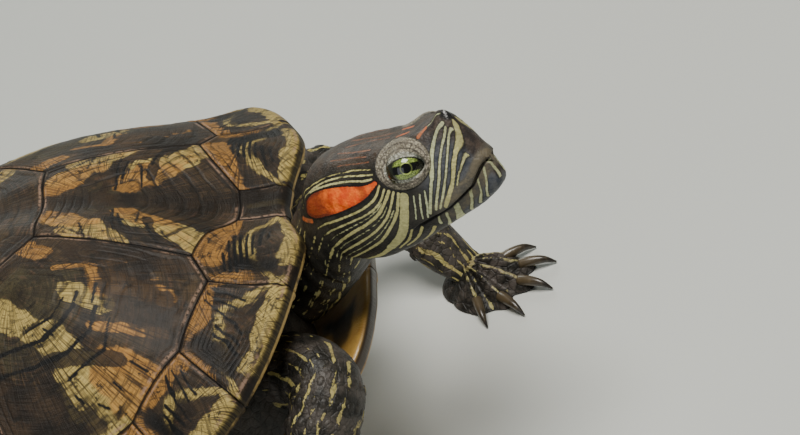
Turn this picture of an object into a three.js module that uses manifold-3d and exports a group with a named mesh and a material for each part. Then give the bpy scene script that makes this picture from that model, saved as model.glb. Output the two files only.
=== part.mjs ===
// Red-eared slider turtle: a still, life-size adult standing on four feet with its shell pitched nose-up,
// the rear of the plastron on the floor, the neck bent to its right and the head raised.
// Millimetres. +X is forward, +Y is the animal's left, +Z is up and the floor is z = 0.
// The shell is described in its own frame, where the plastron is level and x = 0 is mid-carapace,
// and is then tilted and lifted as one piece. Neck, legs and tail are described in the standing frame.

import * as THREE from 'three';
import { mergeVertices } from 'three/addons/utils/BufferGeometryUtils.js';
import Module from 'manifold-3d';

// ---------------------------------------------------------------- driving dimensions

const SHELL_TOP = 80.5;          // height of the dome above the plastron's underside
const PLATE_THICK = 5;           // carapace wall, measured vertically
const SEAM_GAP = 0.36;           // width of the cut between neighbouring shell plates
const PART_GAP = 0.3;            // cut between head, jaw, neck, limbs and feet
const UNDER_GAP = 2.8;           // room between the faceted trunk and the faceted carapace
const BELLY_GAP = 3.9;           // the same above the plastron
const TRUNK_SHARE = 0.84;        // how far out to the rim of the carapace the trunk reaches
const TRUNK_EDGE = 2;            // thickness of the trunk at its edge
const SHELL_PITCH = 13;          // degrees, nose up
const SHELL_LIFT = 18.5;         // height of the shell frame's origin above the floor
const CENTRE = { x: 5.71, y: -1.53 }; // middle of the animal's outline on the floor

const HEAD_SCALE = 1.112;        // head sections below are drawn for a 44 mm head
const HEAD_PLACE = new THREE.Vector3(99.5, -12.7, 81.6);
const HEAD_TURN = { yaw: -26.3, pitch: -20.0, roll: -9.1 }; // degrees
const EYE = { x: 26.5, y: 6.5, z: 2.7, r: 4.3 };
const GAZE = new THREE.Vector3(2.4, 3.4, 1.2);
const LID = { tilt: -7, opening: [3.8, 2], reach: 6.4, out: 5.1 }; // degrees, then head units

const FRONT_CLAW = 7;
const HIND_CLAW = 6;

const COLOURS = {
  shell: 0x4a3a20, rim: 0x7a6a34, plastron: 0xb98a35, skin: 0x34372a, stripe: 0x8f8f4a, eye: 0x7f9a2c,
};

// ---------------------------------------------------------------- small tools

const V2 = (x, y) => new THREE.Vector2(x, y);
const V3 = (x, y, z) => new THREE.Vector3(x, y, z);
const rad = THREE.MathUtils.degToRad;
const clamp01 = v => Math.min(1, Math.max(0, v));

const wasm = await Module();
wasm.setup();

// Closed mesh through rings of equal length, each end closed by a fan.
function loft(rings) {
  const n = rings[0].length;
  const points = rings.flat();
  const faces = [];
  for (let i = 0; i + 1 < rings.length; i++) {
    for (let j = 0; j < n; j++) {
      const a = i * n + j;
      const b = i * n + (j + 1) % n;
      faces.push(a, b, b + n, a, b + n, a + n);
    }
  }
  const cap = (first, flip) => {
    const middle = points.slice(first, first + n).reduce((s, p) => s.add(p), V3(0, 0, 0)).divideScalar(n);
    const m = points.push(middle) - 1;
    for (let j = 0; j < n; j++) {
      const a = first + j;
      const b = first + (j + 1) % n;
      faces.push(...(flip ? [m, b, a] : [m, a, b]));
    }
  };
  cap(0, true);
  cap((rings.length - 1) * n, false);
  return facing(points, faces);
}

// Geometry from points and faces, turned inside out if its volume comes out negative.
function facing(points, faces) {
  let volume = 0;
  for (let f = 0; f < faces.length; f += 3) {
    const [a, b, c] = [points[faces[f]], points[faces[f + 1]], points[faces[f + 2]]];
    volume += a.dot(b.clone().cross(c));
  }
  if (volume < 0) faces.reverse();
  const geometry = new THREE.BufferGeometry().setFromPoints(points);
  geometry.setIndex(faces);
  return geometry;
}

function toSolid(geometry) {
  const bare = geometry.clone();
  bare.deleteAttribute('normal');
  bare.deleteAttribute('uv');
  const merged = mergeVertices(bare, 1e-4);
  return new wasm.Manifold(new wasm.Mesh({
    numProp: 3,
    vertProperties: new Float32Array(merged.attributes.position.array),
    triVerts: new Uint32Array(merged.index.array),
  }));
}

function toGeometry(solid) {
  const mesh = solid.getMesh();
  const geometry = new THREE.BufferGeometry();
  geometry.setAttribute('position', new THREE.BufferAttribute(mesh.vertProperties, 3));
  geometry.setIndex(new THREE.BufferAttribute(mesh.triVerts, 1));
  return geometry;
}

const turtle = new THREE.Group();
const shell = new THREE.Group();
const head = new THREE.Group();
turtle.position.set(-CENTRE.x, -CENTRE.y, 0);
turtle.add(shell, head);

function add(parent, name, geometry, colour, roughness = 0.5) {
  const shown = geometry.toNonIndexed();
  shown.computeVertexNormals();
  const finish = { color: colour, roughness, metalness: 0, flatShading: true };
  const material = new THREE.MeshStandardMaterial(finish);
  const mesh = new THREE.Mesh(shown, material);
  mesh.name = name;
  parent.add(mesh);
}

// Point of the shell frame in the standing frame.
function standing(p) {
  return p.clone().applyAxisAngle(V3(0, 1, 0), -rad(SHELL_PITCH)).add(V3(0, 0, SHELL_LIFT));
}

shell.rotation.y = -rad(SHELL_PITCH);
shell.position.z = SHELL_LIFT;

// A slab of the world below the floor, used to leave small flats on what rests on it.
const underFloor = toSolid(new THREE.BoxGeometry(600, 600, 60).translate(0, 0, -30));

// ---------------------------------------------------------------- shell surfaces

// Left half of an outline, from the front round to the rear, mirrored and read as a radius by polar angle.
function polarOutline(half) {
  const left = half.map(([x, y]) => V3(x, y, 0));
  const right = left.filter(p => p.y > 0).reverse().map(p => V3(p.x, -p.y, 0));
  const curve = new THREE.CatmullRomCurve3([...left, ...right], true);
  const samples = curve.getPoints(900).slice(0, -1)
    .map(p => ({ angle: Math.atan2(p.y, p.x), r: Math.hypot(p.x, p.y) }));
  samples.sort((a, b) => a.angle - b.angle);
  const loop = [{ ...samples.at(-1), angle: samples.at(-1).angle - 2 * Math.PI }, ...samples,
    { ...samples[0], angle: samples[0].angle + 2 * Math.PI }];
  return angle => {
    const i = loop.findIndex(s => s.angle >= angle);
    const [a, b] = [loop[Math.max(i - 1, 0)], loop[i]];
    const f = b.angle > a.angle ? (angle - a.angle) / (b.angle - a.angle) : 0;
    return a.r + (b.r - a.r) * f;
  };
}

// Rim points where marginal plates meet: nuchal/M1, then M1/M2 and so on to the rear midline.
const RIM = [
  [94.5, 6.5], [95, 33], [78.5, 58], [60, 67.5], [38, 73], [16, 75.5], [-6, 77], [-28, 77.5], [-50, 72.5],
  [-70, 60], [-86, 41], [-96, 18], [-97, 0],
];
const NUCHAL_NOTCH = [93.5, 0];
const carapaceRadius = polarOutline([NUCHAL_NOTCH, RIM[0], [99, 20], ...RIM.slice(1)]);

// Rim height by place: high at the nuchal, lowest along the bridge.
function rimHeight(x) {
  return x > 0 ? 26 + 14 * (x / 97) ** 1.7 : 26 + 1.5 * (-x / 97) ** 2;
}

// Dome over the outline, flattened towards a flared margin that is widest in front and behind.
function domeTop(x, y) {
  const angle = Math.atan2(y, x);
  const t = Math.min(1, Math.hypot(x, y) / carapaceRadius(angle));
  const rimX = carapaceRadius(angle) * Math.cos(angle);
  const rim = rimHeight(rimX);
  const rise = (1 - t ** 2.45) ** 0.9;
  const flare = 7 * (0.35 + 0.65 * Math.abs(Math.cos(angle))) * Math.sin(Math.PI * t ** 4);
  return rim + (SHELL_TOP - rim) * rise - flare;
}

const domeUnder = (x, y) => domeTop(x, y) - PLATE_THICK;

// ---------------------------------------------------------------- carapace plates

// Inner border of the marginal plates, at the same seams as RIM.
const BORDER = [
  [84, 6], [79, 29.5], [70, 46], [55, 57], [36, 63], [14, 65.5], [-6, 66.5], [-26, 65.5], [-44, 60],
  [-60, 49], [-73, 34], [-81, 16], [-84, 0],
];
const SHOULDER = [77, 22.5];                 // where V1, C1 and M1 meet
// Vertebral plates: half-width at each cross seam, and the side corner where two costals meet.
const CROSS_SEAMS = [[46, 13], [9, 18], [-29, 18], [-63, 14]];
const SIDE_CORNERS = [[28, 27], [-10, 28], [-48, 25]];
const COSTAL_RIM = [[25, 64.25], [-16, 66], [-52, 54.5]];
const REAR_CORNER = [-75.5, 30];

const mirror = list => list.map(([x, y]) => [x, -y]);
const bothSides = list => [...list, ...mirror(list).reverse()];

// Splits long edges so that the plate can follow the dome.
function subdivide(corners, longest) {
  return corners.flatMap(([x, y], i) => {
    const [u, v] = corners[(i + 1) % corners.length];
    const steps = Math.max(1, Math.round(Math.hypot(u - x, v - y) / longest));
    return Array.from({ length: steps }, (_, k) => V2(x + (u - x) * k / steps, y + (v - y) * k / steps));
  });
}

// Moves every edge of a counter-clockwise outline inwards.
function inset(points, distance) {
  return points.map((p, i) => {
    const before = points[(i + points.length - 1) % points.length];
    const after = points[(i + 1) % points.length];
    const a = p.clone().sub(before).normalize();
    const b = after.clone().sub(p).normalize();
    const bisector = V2(-a.y - b.y, a.x + b.x).normalize();
    return p.clone().addScaledVector(bisector, distance / Math.max(0.4, bisector.dot(V2(-a.y, a.x))));
  });
}

// One plate: the prism over its outline between the dome and the surface under it.
function plate(corners, longest = 14) {
  const area = THREE.ShapeUtils.area(corners.map(([x, y]) => V2(x, y)));
  const outline = area > 0 ? corners : [...corners].reverse();
  const edge = inset(subdivide(outline, longest), SEAM_GAP / 2);
  const middle = edge.reduce((s, p) => s.add(p), V2(0, 0)).divideScalar(edge.length);
  const ring = (g, height) => edge.map(p => {
    const q = middle.clone().lerp(p, g);
    return V3(q.x, q.y, height(q.x, q.y));
  });
  const inner = 0.5;
  return loft([ring(inner, domeUnder), ring(1, domeUnder), ring(1, domeTop), ring(inner, domeTop)]);
}

// Points along the rim from one seam to the next.
function rimArc([ax, ay], [bx, by], steps = 3) {
  const from = Math.atan2(ay, ax);
  const to = Math.atan2(by, bx);
  return Array.from({ length: steps + 1 }, (_, k) => {
    const angle = from + (to - from) * k / steps;
    const r = carapaceRadius(angle) - 0.05;
    return [r * Math.cos(angle), r * Math.sin(angle)];
  });
}

function carapace() {
  const nuchalEnd = BORDER[0];
  const nuchal = [NUCHAL_NOTCH, RIM[0], nuchalEnd, ...mirror([nuchalEnd, RIM[0]])];
  add(shell, 'nuchal_plate', plate(nuchal), COLOURS.rim);

  const vertebral = [
    [nuchalEnd, SHOULDER, CROSS_SEAMS[0]],
    [CROSS_SEAMS[0], SIDE_CORNERS[0], CROSS_SEAMS[1]],
    [CROSS_SEAMS[1], SIDE_CORNERS[1], CROSS_SEAMS[2]],
    [CROSS_SEAMS[2], SIDE_CORNERS[2], CROSS_SEAMS[3]],
    [CROSS_SEAMS[3], REAR_CORNER, BORDER[11], [-84, 0.01]],
  ];
  vertebral.forEach((half, i) => {
    add(shell, `vertebral_plate_${i + 1}`, plate(bothSides(half)), COLOURS.shell);
  });

  const costal = [
    [SHOULDER, ...BORDER.slice(1, 5), COSTAL_RIM[0], SIDE_CORNERS[0], CROSS_SEAMS[0]],
    [SIDE_CORNERS[0], COSTAL_RIM[0], BORDER[5], BORDER[6], COSTAL_RIM[1], SIDE_CORNERS[1], CROSS_SEAMS[1]],
    [SIDE_CORNERS[1], COSTAL_RIM[1], BORDER[7], BORDER[8], COSTAL_RIM[2], SIDE_CORNERS[2], CROSS_SEAMS[2]],
    [SIDE_CORNERS[2], COSTAL_RIM[2], BORDER[9], BORDER[10], REAR_CORNER, CROSS_SEAMS[3]],
  ];
  const marginal = RIM.slice(0, -1).map((start, i) => {
    const innerEdge = i === 0 ? [BORDER[1], SHOULDER, BORDER[0]] : [BORDER[i + 1], BORDER[i]];
    if (i === 10) innerEdge.splice(1, 0, REAR_CORNER);
    return [...rimArc(start, RIM[i + 1]), ...innerEdge];
  });
  for (const [side, flip] of [['left', list => list], ['right', mirror]]) {
    costal.forEach((corners, i) => {
      add(shell, `costal_plate_${side}_${i + 1}`, plate(flip(corners)), COLOURS.shell);
    });
    marginal.forEach((corners, i) => {
      add(shell, `marginal_plate_${side}_${i + 1}`, plate(flip(corners), 20), COLOURS.rim);
    });
  }
}

// ---------------------------------------------------------------- plastron and bridges

const plastronRadius = polarOutline([
  [99, 0], [98, 14], [93, 27], [80, 37], [62, 43], [47, 46], [41, 54], [36, 64], [18, 68], [-5, 70.5],
  [-28, 72],
  [-36, 66], [-41, 53], [-50, 47], [-66, 43], [-80, 33], [-88, 17], [-86, 8], [-81, 0],
]);

// Flat belly, bridges rising to the rim on both sides and an upturned front lobe.
function plastronBottom(x, y) {
  const side = clamp01((Math.abs(y) - 44) / 28);
  const front = clamp01((x - 70) / 29);
  return 24 * side ** 1.4 + 6 * front ** 2;
}

const plastronTop = (x, y) => Math.min(plastronBottom(x, y) + 5, domeUnder(x, y) - 0.5);

// Closed surface between two heights over a star-shaped outline; share is the part of the radius it covers.
function star(radius, share, top, bottom, steps = 40, rows = [0.6, 0.85, 1]) {
  const ring = (t, height) => Array.from({ length: steps }, (_, j) => {
    const angle = -Math.PI + 2 * Math.PI * (j + 0.5) / steps;
    const r = radius(angle) * share * t;
    const [x, y] = [r * Math.cos(angle), r * Math.sin(angle)];
    return V3(x, y, height(x, y));
  });
  return loft([...rows.map(t => ring(t, bottom)), ...[...rows].reverse().map(t => ring(t, top))]);
}

function plastron() {
  const whole = star(plastronRadius, 1, plastronTop, plastronBottom);
  const floor = underFloor.translate([0, 0, -SHELL_LIFT]).rotate([0, SHELL_PITCH, 0]);
  add(shell, 'plastron', toGeometry(toSolid(whole).subtract(floor)), COLOURS.plastron, 0.35);
}

// ---------------------------------------------------------------- soft tubes

// Elliptical tube along a smooth path. stations: [x, y, z, half-width, half-height].
// Its sides stay level unless the path climbs steeply; grow fattens it to make a socket.
function tube(stations, { sides = 16, steps = 14, grow = 0, up = V3(0, 0, 1) } = {}) {
  const path = new THREE.CatmullRomCurve3(stations.map(([x, y, z]) => V3(x, y, z)));
  const sizes = new THREE.CatmullRomCurve3(stations.map(([, , , w, h]) => V3(w, h, 0)));
  const rings = [];
  for (let i = 0; i <= steps; i++) {
    const u = i / steps;
    const centre = path.getPoint(u);
    const ahead = path.getTangent(u);
    const side = up.clone().cross(ahead).normalize();
    const over = ahead.clone().cross(side);
    const { x: w, y: h } = sizes.getPoint(u);
    rings.push(Array.from({ length: sides }, (_, j) => {
      const angle = 2 * Math.PI * j / sides;
      return centre.clone().addScaledVector(side, (w + grow) * Math.cos(angle))
        .addScaledVector(over, (h + grow) * Math.sin(angle));
    }));
  }
  return loft(rings);
}

const NECK = [
  [40, 0, 48, 13, 12.5], [62, -1, 52.5, 14, 12.5], [80, -5, 58.2, 13.2, 11.6], [97.8, -8.8, 67, 11.2, 11],
  [99.2, -12.6, 80.8, 12.6, 12.5],
];
const TAIL = [
  [-52, 0, 22, 9, 8], [-80, 0, 15, 7.5, 6.5], [-100, 3, 8.4, 5.6, 5.2], [-116, 10, 4.4, 3.6, 3.8],
  [-128, 21, 2, 1.6, 2],
];
const LEGS = {
  foreleg_left: [
    [44, 27, 47, 9.6, 9.4], [64, 34, 51, 9.4, 9.6], [80, 52, 45, 8.4, 9.4], [93, 56, 26, 7.4, 8.2],
    [101, 49, 12, 7.6, 6.4], [107, 44.5, 4.8, 6.2, 2.8],
  ],
  foreleg_right: [
    [46, -29, 46, 9.6, 9.4], [70, -31, 53, 9.4, 9.8], [82, -40, 52, 9, 9.6], [77, -54, 42, 8.6, 9.6],
    [82, -65, 22, 7.6, 8.2], [90, -72, 9, 7.6, 5.6], [95.5, -75.5, 4.6, 6.2, 2.8],
  ],
  hindleg_left: [
    [-42, 30, 27, 9.6, 8.6], [-56, 45, 23.6, 9.6, 8.4], [-59, 58, 18, 9.4, 8.2], [-56, 74, 17, 9.2, 9],
    [-66, 82, 11, 8.2, 7.6], [-64, 86, 5, 6.6, 3],
  ],
  hindleg_right: [
    [-42, -30, 27, 9.6, 8.6], [-56, -45, 23.6, 9.6, 8.4], [-59, -58, 18, 9.4, 8.2], [-52, -75, 17, 9.2, 9],
    [-61, -84, 11, 8.2, 7.6], [-59, -88, 5, 6.6, 3],
  ],
};

// ---------------------------------------------------------------- feet

// digits: heading in degrees from the foot's own and reach in mm, from the thumb or first toe outwards.
const FORE_DIGITS = {
  spread: [-50, -25, 0, 24, 48], reach: [15.5, 19.5, 21, 19.5, 15], claws: 5, claw: FRONT_CLAW, heel: 9,
};
const HIND_DIGITS = {
  spread: [-46, -22, 0, 22, 46], reach: [18, 23.5, 25.5, 23.5, 17], claws: 4, claw: HIND_CLAW, heel: 10,
};
const FEET = {
  forefoot_left: { place: [106, 44], heading: -32, outer: 1, digits: FORE_DIGITS, wrist: [99.5, 50.5, 14] },
  forefoot_right: {
    place: [95, -75], heading: -30, outer: -1, digits: FORE_DIGITS, wrist: [85.6, -69, 14.5],
  },
  hindfoot_left: { place: [-62, 87], heading: 34, outer: 1, digits: HIND_DIGITS, wrist: [-65, 82.4, 11] },
  hindfoot_right: {
    place: [-57, -89], heading: -38, outer: -1, digits: HIND_DIGITS, wrist: [-60.4, -84.6, 11],
  },
};

// Webbed foot as a fan round the palm: each digit is a ridge that carries the edge out to its reach.
function fan({ spread, reach, heel }, outer) {
  const ridge = (angle, i, width) => Math.exp(-(((angle - rad(spread[i] * outer)) / rad(width)) ** 2));
  const radius = angle => {
    const bend = Math.abs(angle) / Math.PI;
    const web = heel + (0.74 * Math.max(...reach) - heel) * clamp01(1.75 - 3.1 * bend);
    const digit = Math.max(...reach.map((r, i) => (r - web) * ridge(angle, i, 9)));
    return web + Math.max(0, digit);
  };
  const height = (x, y) => {
    const angle = Math.atan2(y, x);
    const t = Math.min(1, Math.hypot(x, y) / radius(angle));
    const digit = Math.max(...reach.map((r, i) => ridge(angle, i, 8)));
    return 1.8 + 6.2 * (1 - t ** 1.6) ** 1.2 + 2 * digit * Math.sin(Math.PI * Math.min(1, t * 1.02)) ** 0.8;
  };
  return star(radius, 1, height, () => 0, 30, [0.6, 1]);
}

function claw(length) {
  return tube([[-3, 0, 2.9, 1.5, 1.5], [0, 0, 3, 1.4, 1.5], [length * 0.55, 0, 2.5, 1, 1.1],
    [length, 0, 0.6, 0.25, 0.3]], { sides: 5, steps: 3 });
}

function foot({ place, heading, outer, digits }) {
  let solid = toSolid(fan(digits, outer));
  for (let i = 0; i < digits.claws; i++) {
    const angle = rad(digits.spread[i] * outer);
    const nail = claw(digits.claw).translate(digits.reach[i] - 1.2, 0, 0).rotateZ(angle);
    solid = solid.add(toSolid(nail));
  }
  return solid.rotate([0, 0, heading]).translate([place[0], place[1], 0]);
}

// Big block on the far side of a plane through place, facing along normal; shift moves the plane along it.
function halfSpace(place, normal, shift = 0) {
  const block = new THREE.BoxGeometry(120, 120, 120).translate(0, 0, 60 + shift);
  const turn = new THREE.Quaternion().setFromUnitVectors(V3(0, 0, 1), normal.clone().normalize());
  return toSolid(block.applyQuaternion(turn).translate(...place));
}

// Legs and feet are modelled as one limb and parted by a thin cut across the wrist or ankle.
function limbs() {
  const names = Object.keys(FEET);
  names.forEach((footName, i) => {
    const legName = Object.keys(LEGS)[i];
    const { wrist, place } = FEET[footName];
    const leg = toSolid(tube(LEGS[legName], { sides: 11, steps: 11 })).subtract(underFloor);
    const whole = leg.add(foot(FEET[footName]));
    const down = V3(place[0] - wrist[0], place[1] - wrist[1], -wrist[2]);
    add(turtle, legName, toGeometry(whole.subtract(halfSpace(wrist, down))), COLOURS.skin, 0.6);
    add(turtle, footName, toGeometry(whole.intersect(halfSpace(wrist, down, PART_GAP))), COLOURS.skin, 0.6);
  });
}

// ---------------------------------------------------------------- head

// Sections of the head: x, half-width, top, bottom, height of the widest line, how roof-like the top.
const HEAD_SECTIONS = [
  [0, 11.2, 10.2, -12.5, -2, 0], [4, 12.3, 10.6, -13.6, -3, 0], [9, 12.9, 10.5, -14.2, -4, 0],
  [15, 12.6, 9.8, -14.2, -4.5, 0], [20, 11.8, 8.8, -13.8, -4, 0], [25, 10.8, 8.1, -13.2, -3, 0],
  [30, 9.4, 7.9, -12.6, -2.5, 0], [34, 7.2, 8.3, -12, -2.5, 0.24], [36.6, 5.2, 9.2, -11.3, -2.5, 0.5],
  [38.4, 3.9, 7.9, -10.6, -3, 0.55], [39.8, 2.8, 2.8, -9.8, -4, 0.55], [40.8, 1.8, -2.2, -8.8, -5, 0.55],
];
// The mouth line from beyond the snout back to its corner, then down behind the jaw.
const MOUTH = [
  [44, -2.8], [39.6, -4.4], [36.5, -6.8], [31, -8.2], [23.6, -8.6], [15, -10], [9, -11.6], [7, -17], [44, -17],
];
const HEAD_POWERS = { upper: 0.85, lower: 0.62, height: 0.9 }; // of the sines that round its sections

function headWhole() {
  const sides = 16;
  const ring = ([x, w, top, bottom, wide, roof]) => Array.from({ length: sides }, (_, j) => {
    const angle = 2 * Math.PI * j / sides;
    const [c, s] = [Math.cos(angle), Math.sin(angle)];
    const [peak, powerY] = s > 0 ? [roof, HEAD_POWERS.upper] : [0, HEAD_POWERS.lower];
    const y = w * Math.sign(c) * Math.abs(c) ** (powerY + peak);
    const tall = Math.sign(s) * Math.abs(s) ** (HEAD_POWERS.height + 0.6 * peak);
    const z = wide + (s > 0 ? top - wide : wide - bottom) * tall;
    return V3(x, y, z).multiplyScalar(HEAD_SCALE);
  });
  return toSolid(loft(HEAD_SECTIONS.map(ring)));
}

// Block below the mouth line; grow widens it so that the jaw keeps a thin gap to the head.
function jawBlock(grow) {
  const points = MOUTH.map(([x, z]) => V2(x - grow, z + grow).multiplyScalar(HEAD_SCALE));
  const block = new THREE.ExtrudeGeometry(new THREE.Shape(points), { depth: 60, bevelEnabled: false });
  return toSolid(block.translate(0, 0, -30).rotateX(Math.PI / 2));
}

// Sets a shape drawn with x ahead, y above and z out of the head, and the same above as below, at one eye.
function atEye(geometry, side) {
  const out = V3(GAZE.x, side * GAZE.y, GAZE.z).normalize();
  const ahead = V3(1, 0, 0).addScaledVector(out, -out.x).normalize();
  const above = V3().crossVectors(ahead, out).multiplyScalar(side);
  const sideways = V3().crossVectors(ahead, above);
  const place = V3(EYE.x, side * EYE.y, EYE.z).multiplyScalar(HEAD_SCALE);
  const turn = new THREE.Matrix4().makeBasis(ahead, above, sideways).setPosition(place);
  geometry.scale(HEAD_SCALE, HEAD_SCALE, HEAD_SCALE).rotateX(side > 0 ? Math.PI : 0);
  return geometry.rotateZ(rad(LID.tilt)).applyMatrix4(turn);
}

function headAndJaw() {
  head.position.copy(HEAD_PLACE);
  head.rotation.set(rad(HEAD_TURN.roll), rad(HEAD_TURN.pitch), rad(HEAD_TURN.yaw), 'ZYX');
  const eyeball = (side, r) => atEye(new THREE.SphereGeometry(r, 12, 8), side);
  const lids = side => atEye(new THREE.SphereGeometry(1, 14, 8).scale(LID.reach, LID.reach, LID.out), side);
  const opening = side => {
    const [half, height] = LID.opening;
    const hole = new THREE.CylinderGeometry(1, 1, 2 * LID.out, 12).rotateX(Math.PI / 2);
    return atEye(hole.scale(half, height, 1).translate(0, 0, LID.out), side);
  };
  let whole = headWhole();
  for (const side of [1, -1]) whole = whole.add(toSolid(lids(side)));
  let cranium = whole.subtract(jawBlock(PART_GAP));
  for (const side of [1, -1]) {
    cranium = cranium.subtract(toSolid(eyeball(side, EYE.r + PART_GAP))).subtract(toSolid(opening(side)));
  }
  add(head, 'head', toGeometry(cranium), COLOURS.skin, 0.5);
  add(head, 'lower_jaw', toGeometry(whole.intersect(jawBlock(0))), COLOURS.stripe, 0.5);
  add(head, 'eye_left', eyeball(1, EYE.r), COLOURS.eye, 0.1);
  add(head, 'eye_right', eyeball(-1, EYE.r), COLOURS.eye, 0.1);
}

// ---------------------------------------------------------------- neck, tail and trunk

// Neck and tail, and the trunk with a socket for each of the six tubes that grow from it.
function trunkNeckTail() {
  head.updateMatrix();
  const headBack = V3(1, 0, 0).applyQuaternion(head.quaternion);
  const neckTube = toSolid(tube(NECK, { sides: 16, steps: 11 }));
  const neck = neckTube.subtract(halfSpace(head.position.toArray(), headBack, -PART_GAP));
  add(turtle, 'neck', toGeometry(neck), COLOURS.skin, 0.6);
  const tail = toSolid(tube(TAIL, { sides: 10, steps: 9 })).subtract(underFloor);
  add(turtle, 'tail', toGeometry(tail), COLOURS.skin, 0.6);

  const top = (x, y) => domeUnder(x, y) - UNDER_GAP;
  const bottom = (x, y) => Math.min(plastronTop(x, y) + BELLY_GAP, top(x, y) - TRUNK_EDGE);
  let trunk = toSolid(star(carapaceRadius, TRUNK_SHARE, top, bottom, 26, [0.55, 0.85, 1]));
  trunk = trunk.rotate([0, -SHELL_PITCH, 0]).translate([0, 0, SHELL_LIFT]);
  for (const stations of [NECK, TAIL, ...Object.values(LEGS)]) {
    trunk = trunk.subtract(toSolid(tube(stations, { sides: 12, steps: 11, grow: 1 })));
  }
  add(turtle, 'trunk', toGeometry(trunk), COLOURS.skin, 0.6);
}

carapace();
plastron();
limbs();
headAndJaw();
trunkNeckTail();

export default turtle;
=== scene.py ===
import math

import bmesh
import bpy
import numpy as np
from mathutils import Matrix, Vector
from mathutils.kdtree import KDTree


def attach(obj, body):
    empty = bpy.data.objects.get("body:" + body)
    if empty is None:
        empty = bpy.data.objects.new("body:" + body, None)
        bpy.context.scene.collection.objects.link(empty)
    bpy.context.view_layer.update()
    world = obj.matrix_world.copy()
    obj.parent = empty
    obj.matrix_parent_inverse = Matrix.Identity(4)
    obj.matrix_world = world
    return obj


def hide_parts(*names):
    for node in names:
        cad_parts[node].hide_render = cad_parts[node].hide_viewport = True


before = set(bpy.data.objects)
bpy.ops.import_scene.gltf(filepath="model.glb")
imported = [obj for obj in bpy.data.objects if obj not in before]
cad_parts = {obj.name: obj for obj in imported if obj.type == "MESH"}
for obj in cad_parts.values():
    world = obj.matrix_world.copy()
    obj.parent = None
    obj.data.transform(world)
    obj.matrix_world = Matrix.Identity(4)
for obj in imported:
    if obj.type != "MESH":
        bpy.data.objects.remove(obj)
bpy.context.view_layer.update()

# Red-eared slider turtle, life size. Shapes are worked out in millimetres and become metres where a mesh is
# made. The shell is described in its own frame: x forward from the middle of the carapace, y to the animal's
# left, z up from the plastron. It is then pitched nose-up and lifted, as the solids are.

MM = 0.001
CENTRE = np.array([5.71, -1.53, 0.0])     # middle of the animal's outline on the floor
SHELL_PITCH = math.radians(13)
SHELL_LIFT = 18.5
SHELL_TOP = 80.5
PLATE_THICK = 5.0
SEAM_ROLL = 0.16                          # radius of a plate's rounded edge at a seam
RIM_ROLL = 1.9                            # the same along the rim of the shell


# ------------------------------------------------------------------ numbers on whole arrays

def blend(value, start, end):
    """Rises from 0 at start to 1 at end with level ends: 3t^2 - 2t^3."""
    t = np.clip((value - start) / (end - start), 0, 1)
    return t * t * (3 - 2 * t)


def bell(value, centre, width):
    """Gaussian hump of height 1."""
    return np.exp(-((value - centre) / width) ** 2)


def spline(at, knots, values):
    """Cubic through values at knots; a knot's slope is that of the parabola through it and its neighbours."""
    knots = np.asarray(knots, float)
    values = np.asarray(values, float)
    flat = values.reshape(len(knots), -1)
    span = np.diff(knots)[:, None]
    rise = np.diff(flat, axis=0) / span
    inner = (span[1:] * rise[:-1] + span[:-1] * rise[1:]) / (span[1:] + span[:-1])
    slope = np.concatenate([rise[:1], inner, rise[-1:]])
    at = np.asarray(at, float)
    where = at.ravel()
    i = np.clip(np.searchsorted(knots, where, side="right") - 1, 0, len(knots) - 2)
    t = np.clip((where - knots[i]) / span[i, 0], 0, 1)[:, None]
    h = span[i]
    result = (flat[i] * (1 + 2 * t) * (1 - t) ** 2 + flat[i + 1] * t * t * (3 - 2 * t)
              + h * slope[i] * t * (1 - t) ** 2 + h * slope[i + 1] * t * t * (t - 1))
    return result.reshape(at.shape + values.shape[1:])


def path_knots(points):
    """Distance along a chain of points."""
    steps = np.linalg.norm(np.diff(np.asarray(points, float), axis=0), axis=1)
    return np.concatenate([[0], np.cumsum(steps)])


def lattice(cells, seed):
    """Random value in -1..1 for each whole-number cell, from a hash of its three coordinates."""
    n = cells.astype(np.int64)
    mixed = (n[..., 0] * 73856093) ^ (n[..., 1] * 19349663) ^ (n[..., 2] * 83492791) ^ (seed * 2654435761)
    mixed = (mixed ^ (mixed >> 13)) * 1274126177
    return ((mixed ^ (mixed >> 16)) & 0xFFFF) / 32767.5 - 1


def noise(points, size, seed=1, octaves=3):
    """Smooth random field in about -1..1: values on a lattice of the given size, in octaves."""
    total = np.zeros(points.shape[:-1])
    weight = 1.0
    for octave in range(octaves):
        scaled = points / size * 2 ** octave
        low = np.floor(scaled)
        f = scaled - low
        f = f * f * (3 - 2 * f)
        value = 0
        for corner in np.ndindex(2, 2, 2):
            share = np.prod(np.where(np.array(corner) == 1, f, 1 - f), axis=-1)
            value = value + share * lattice(low + corner, seed + octave)
        total += weight * value
        weight *= 0.5
    return total


def unit(vectors):
    return vectors / np.maximum(np.linalg.norm(vectors, axis=-1, keepdims=True), 1e-9)


def placed(points):
    """From the standing frame in millimetres to the frame of the part."""
    return points - CENTRE


def standing(points):
    """From the shell's own frame to the frame of the part: pitched nose-up, lifted and centred."""
    c, s = math.cos(SHELL_PITCH), math.sin(SHELL_PITCH)
    x, y, z = points[..., 0], points[..., 1], points[..., 2]
    return placed(np.stack([x * c - z * s, y, x * s + z * c + SHELL_LIFT], axis=-1))


# ------------------------------------------------------------------ meshes

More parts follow.
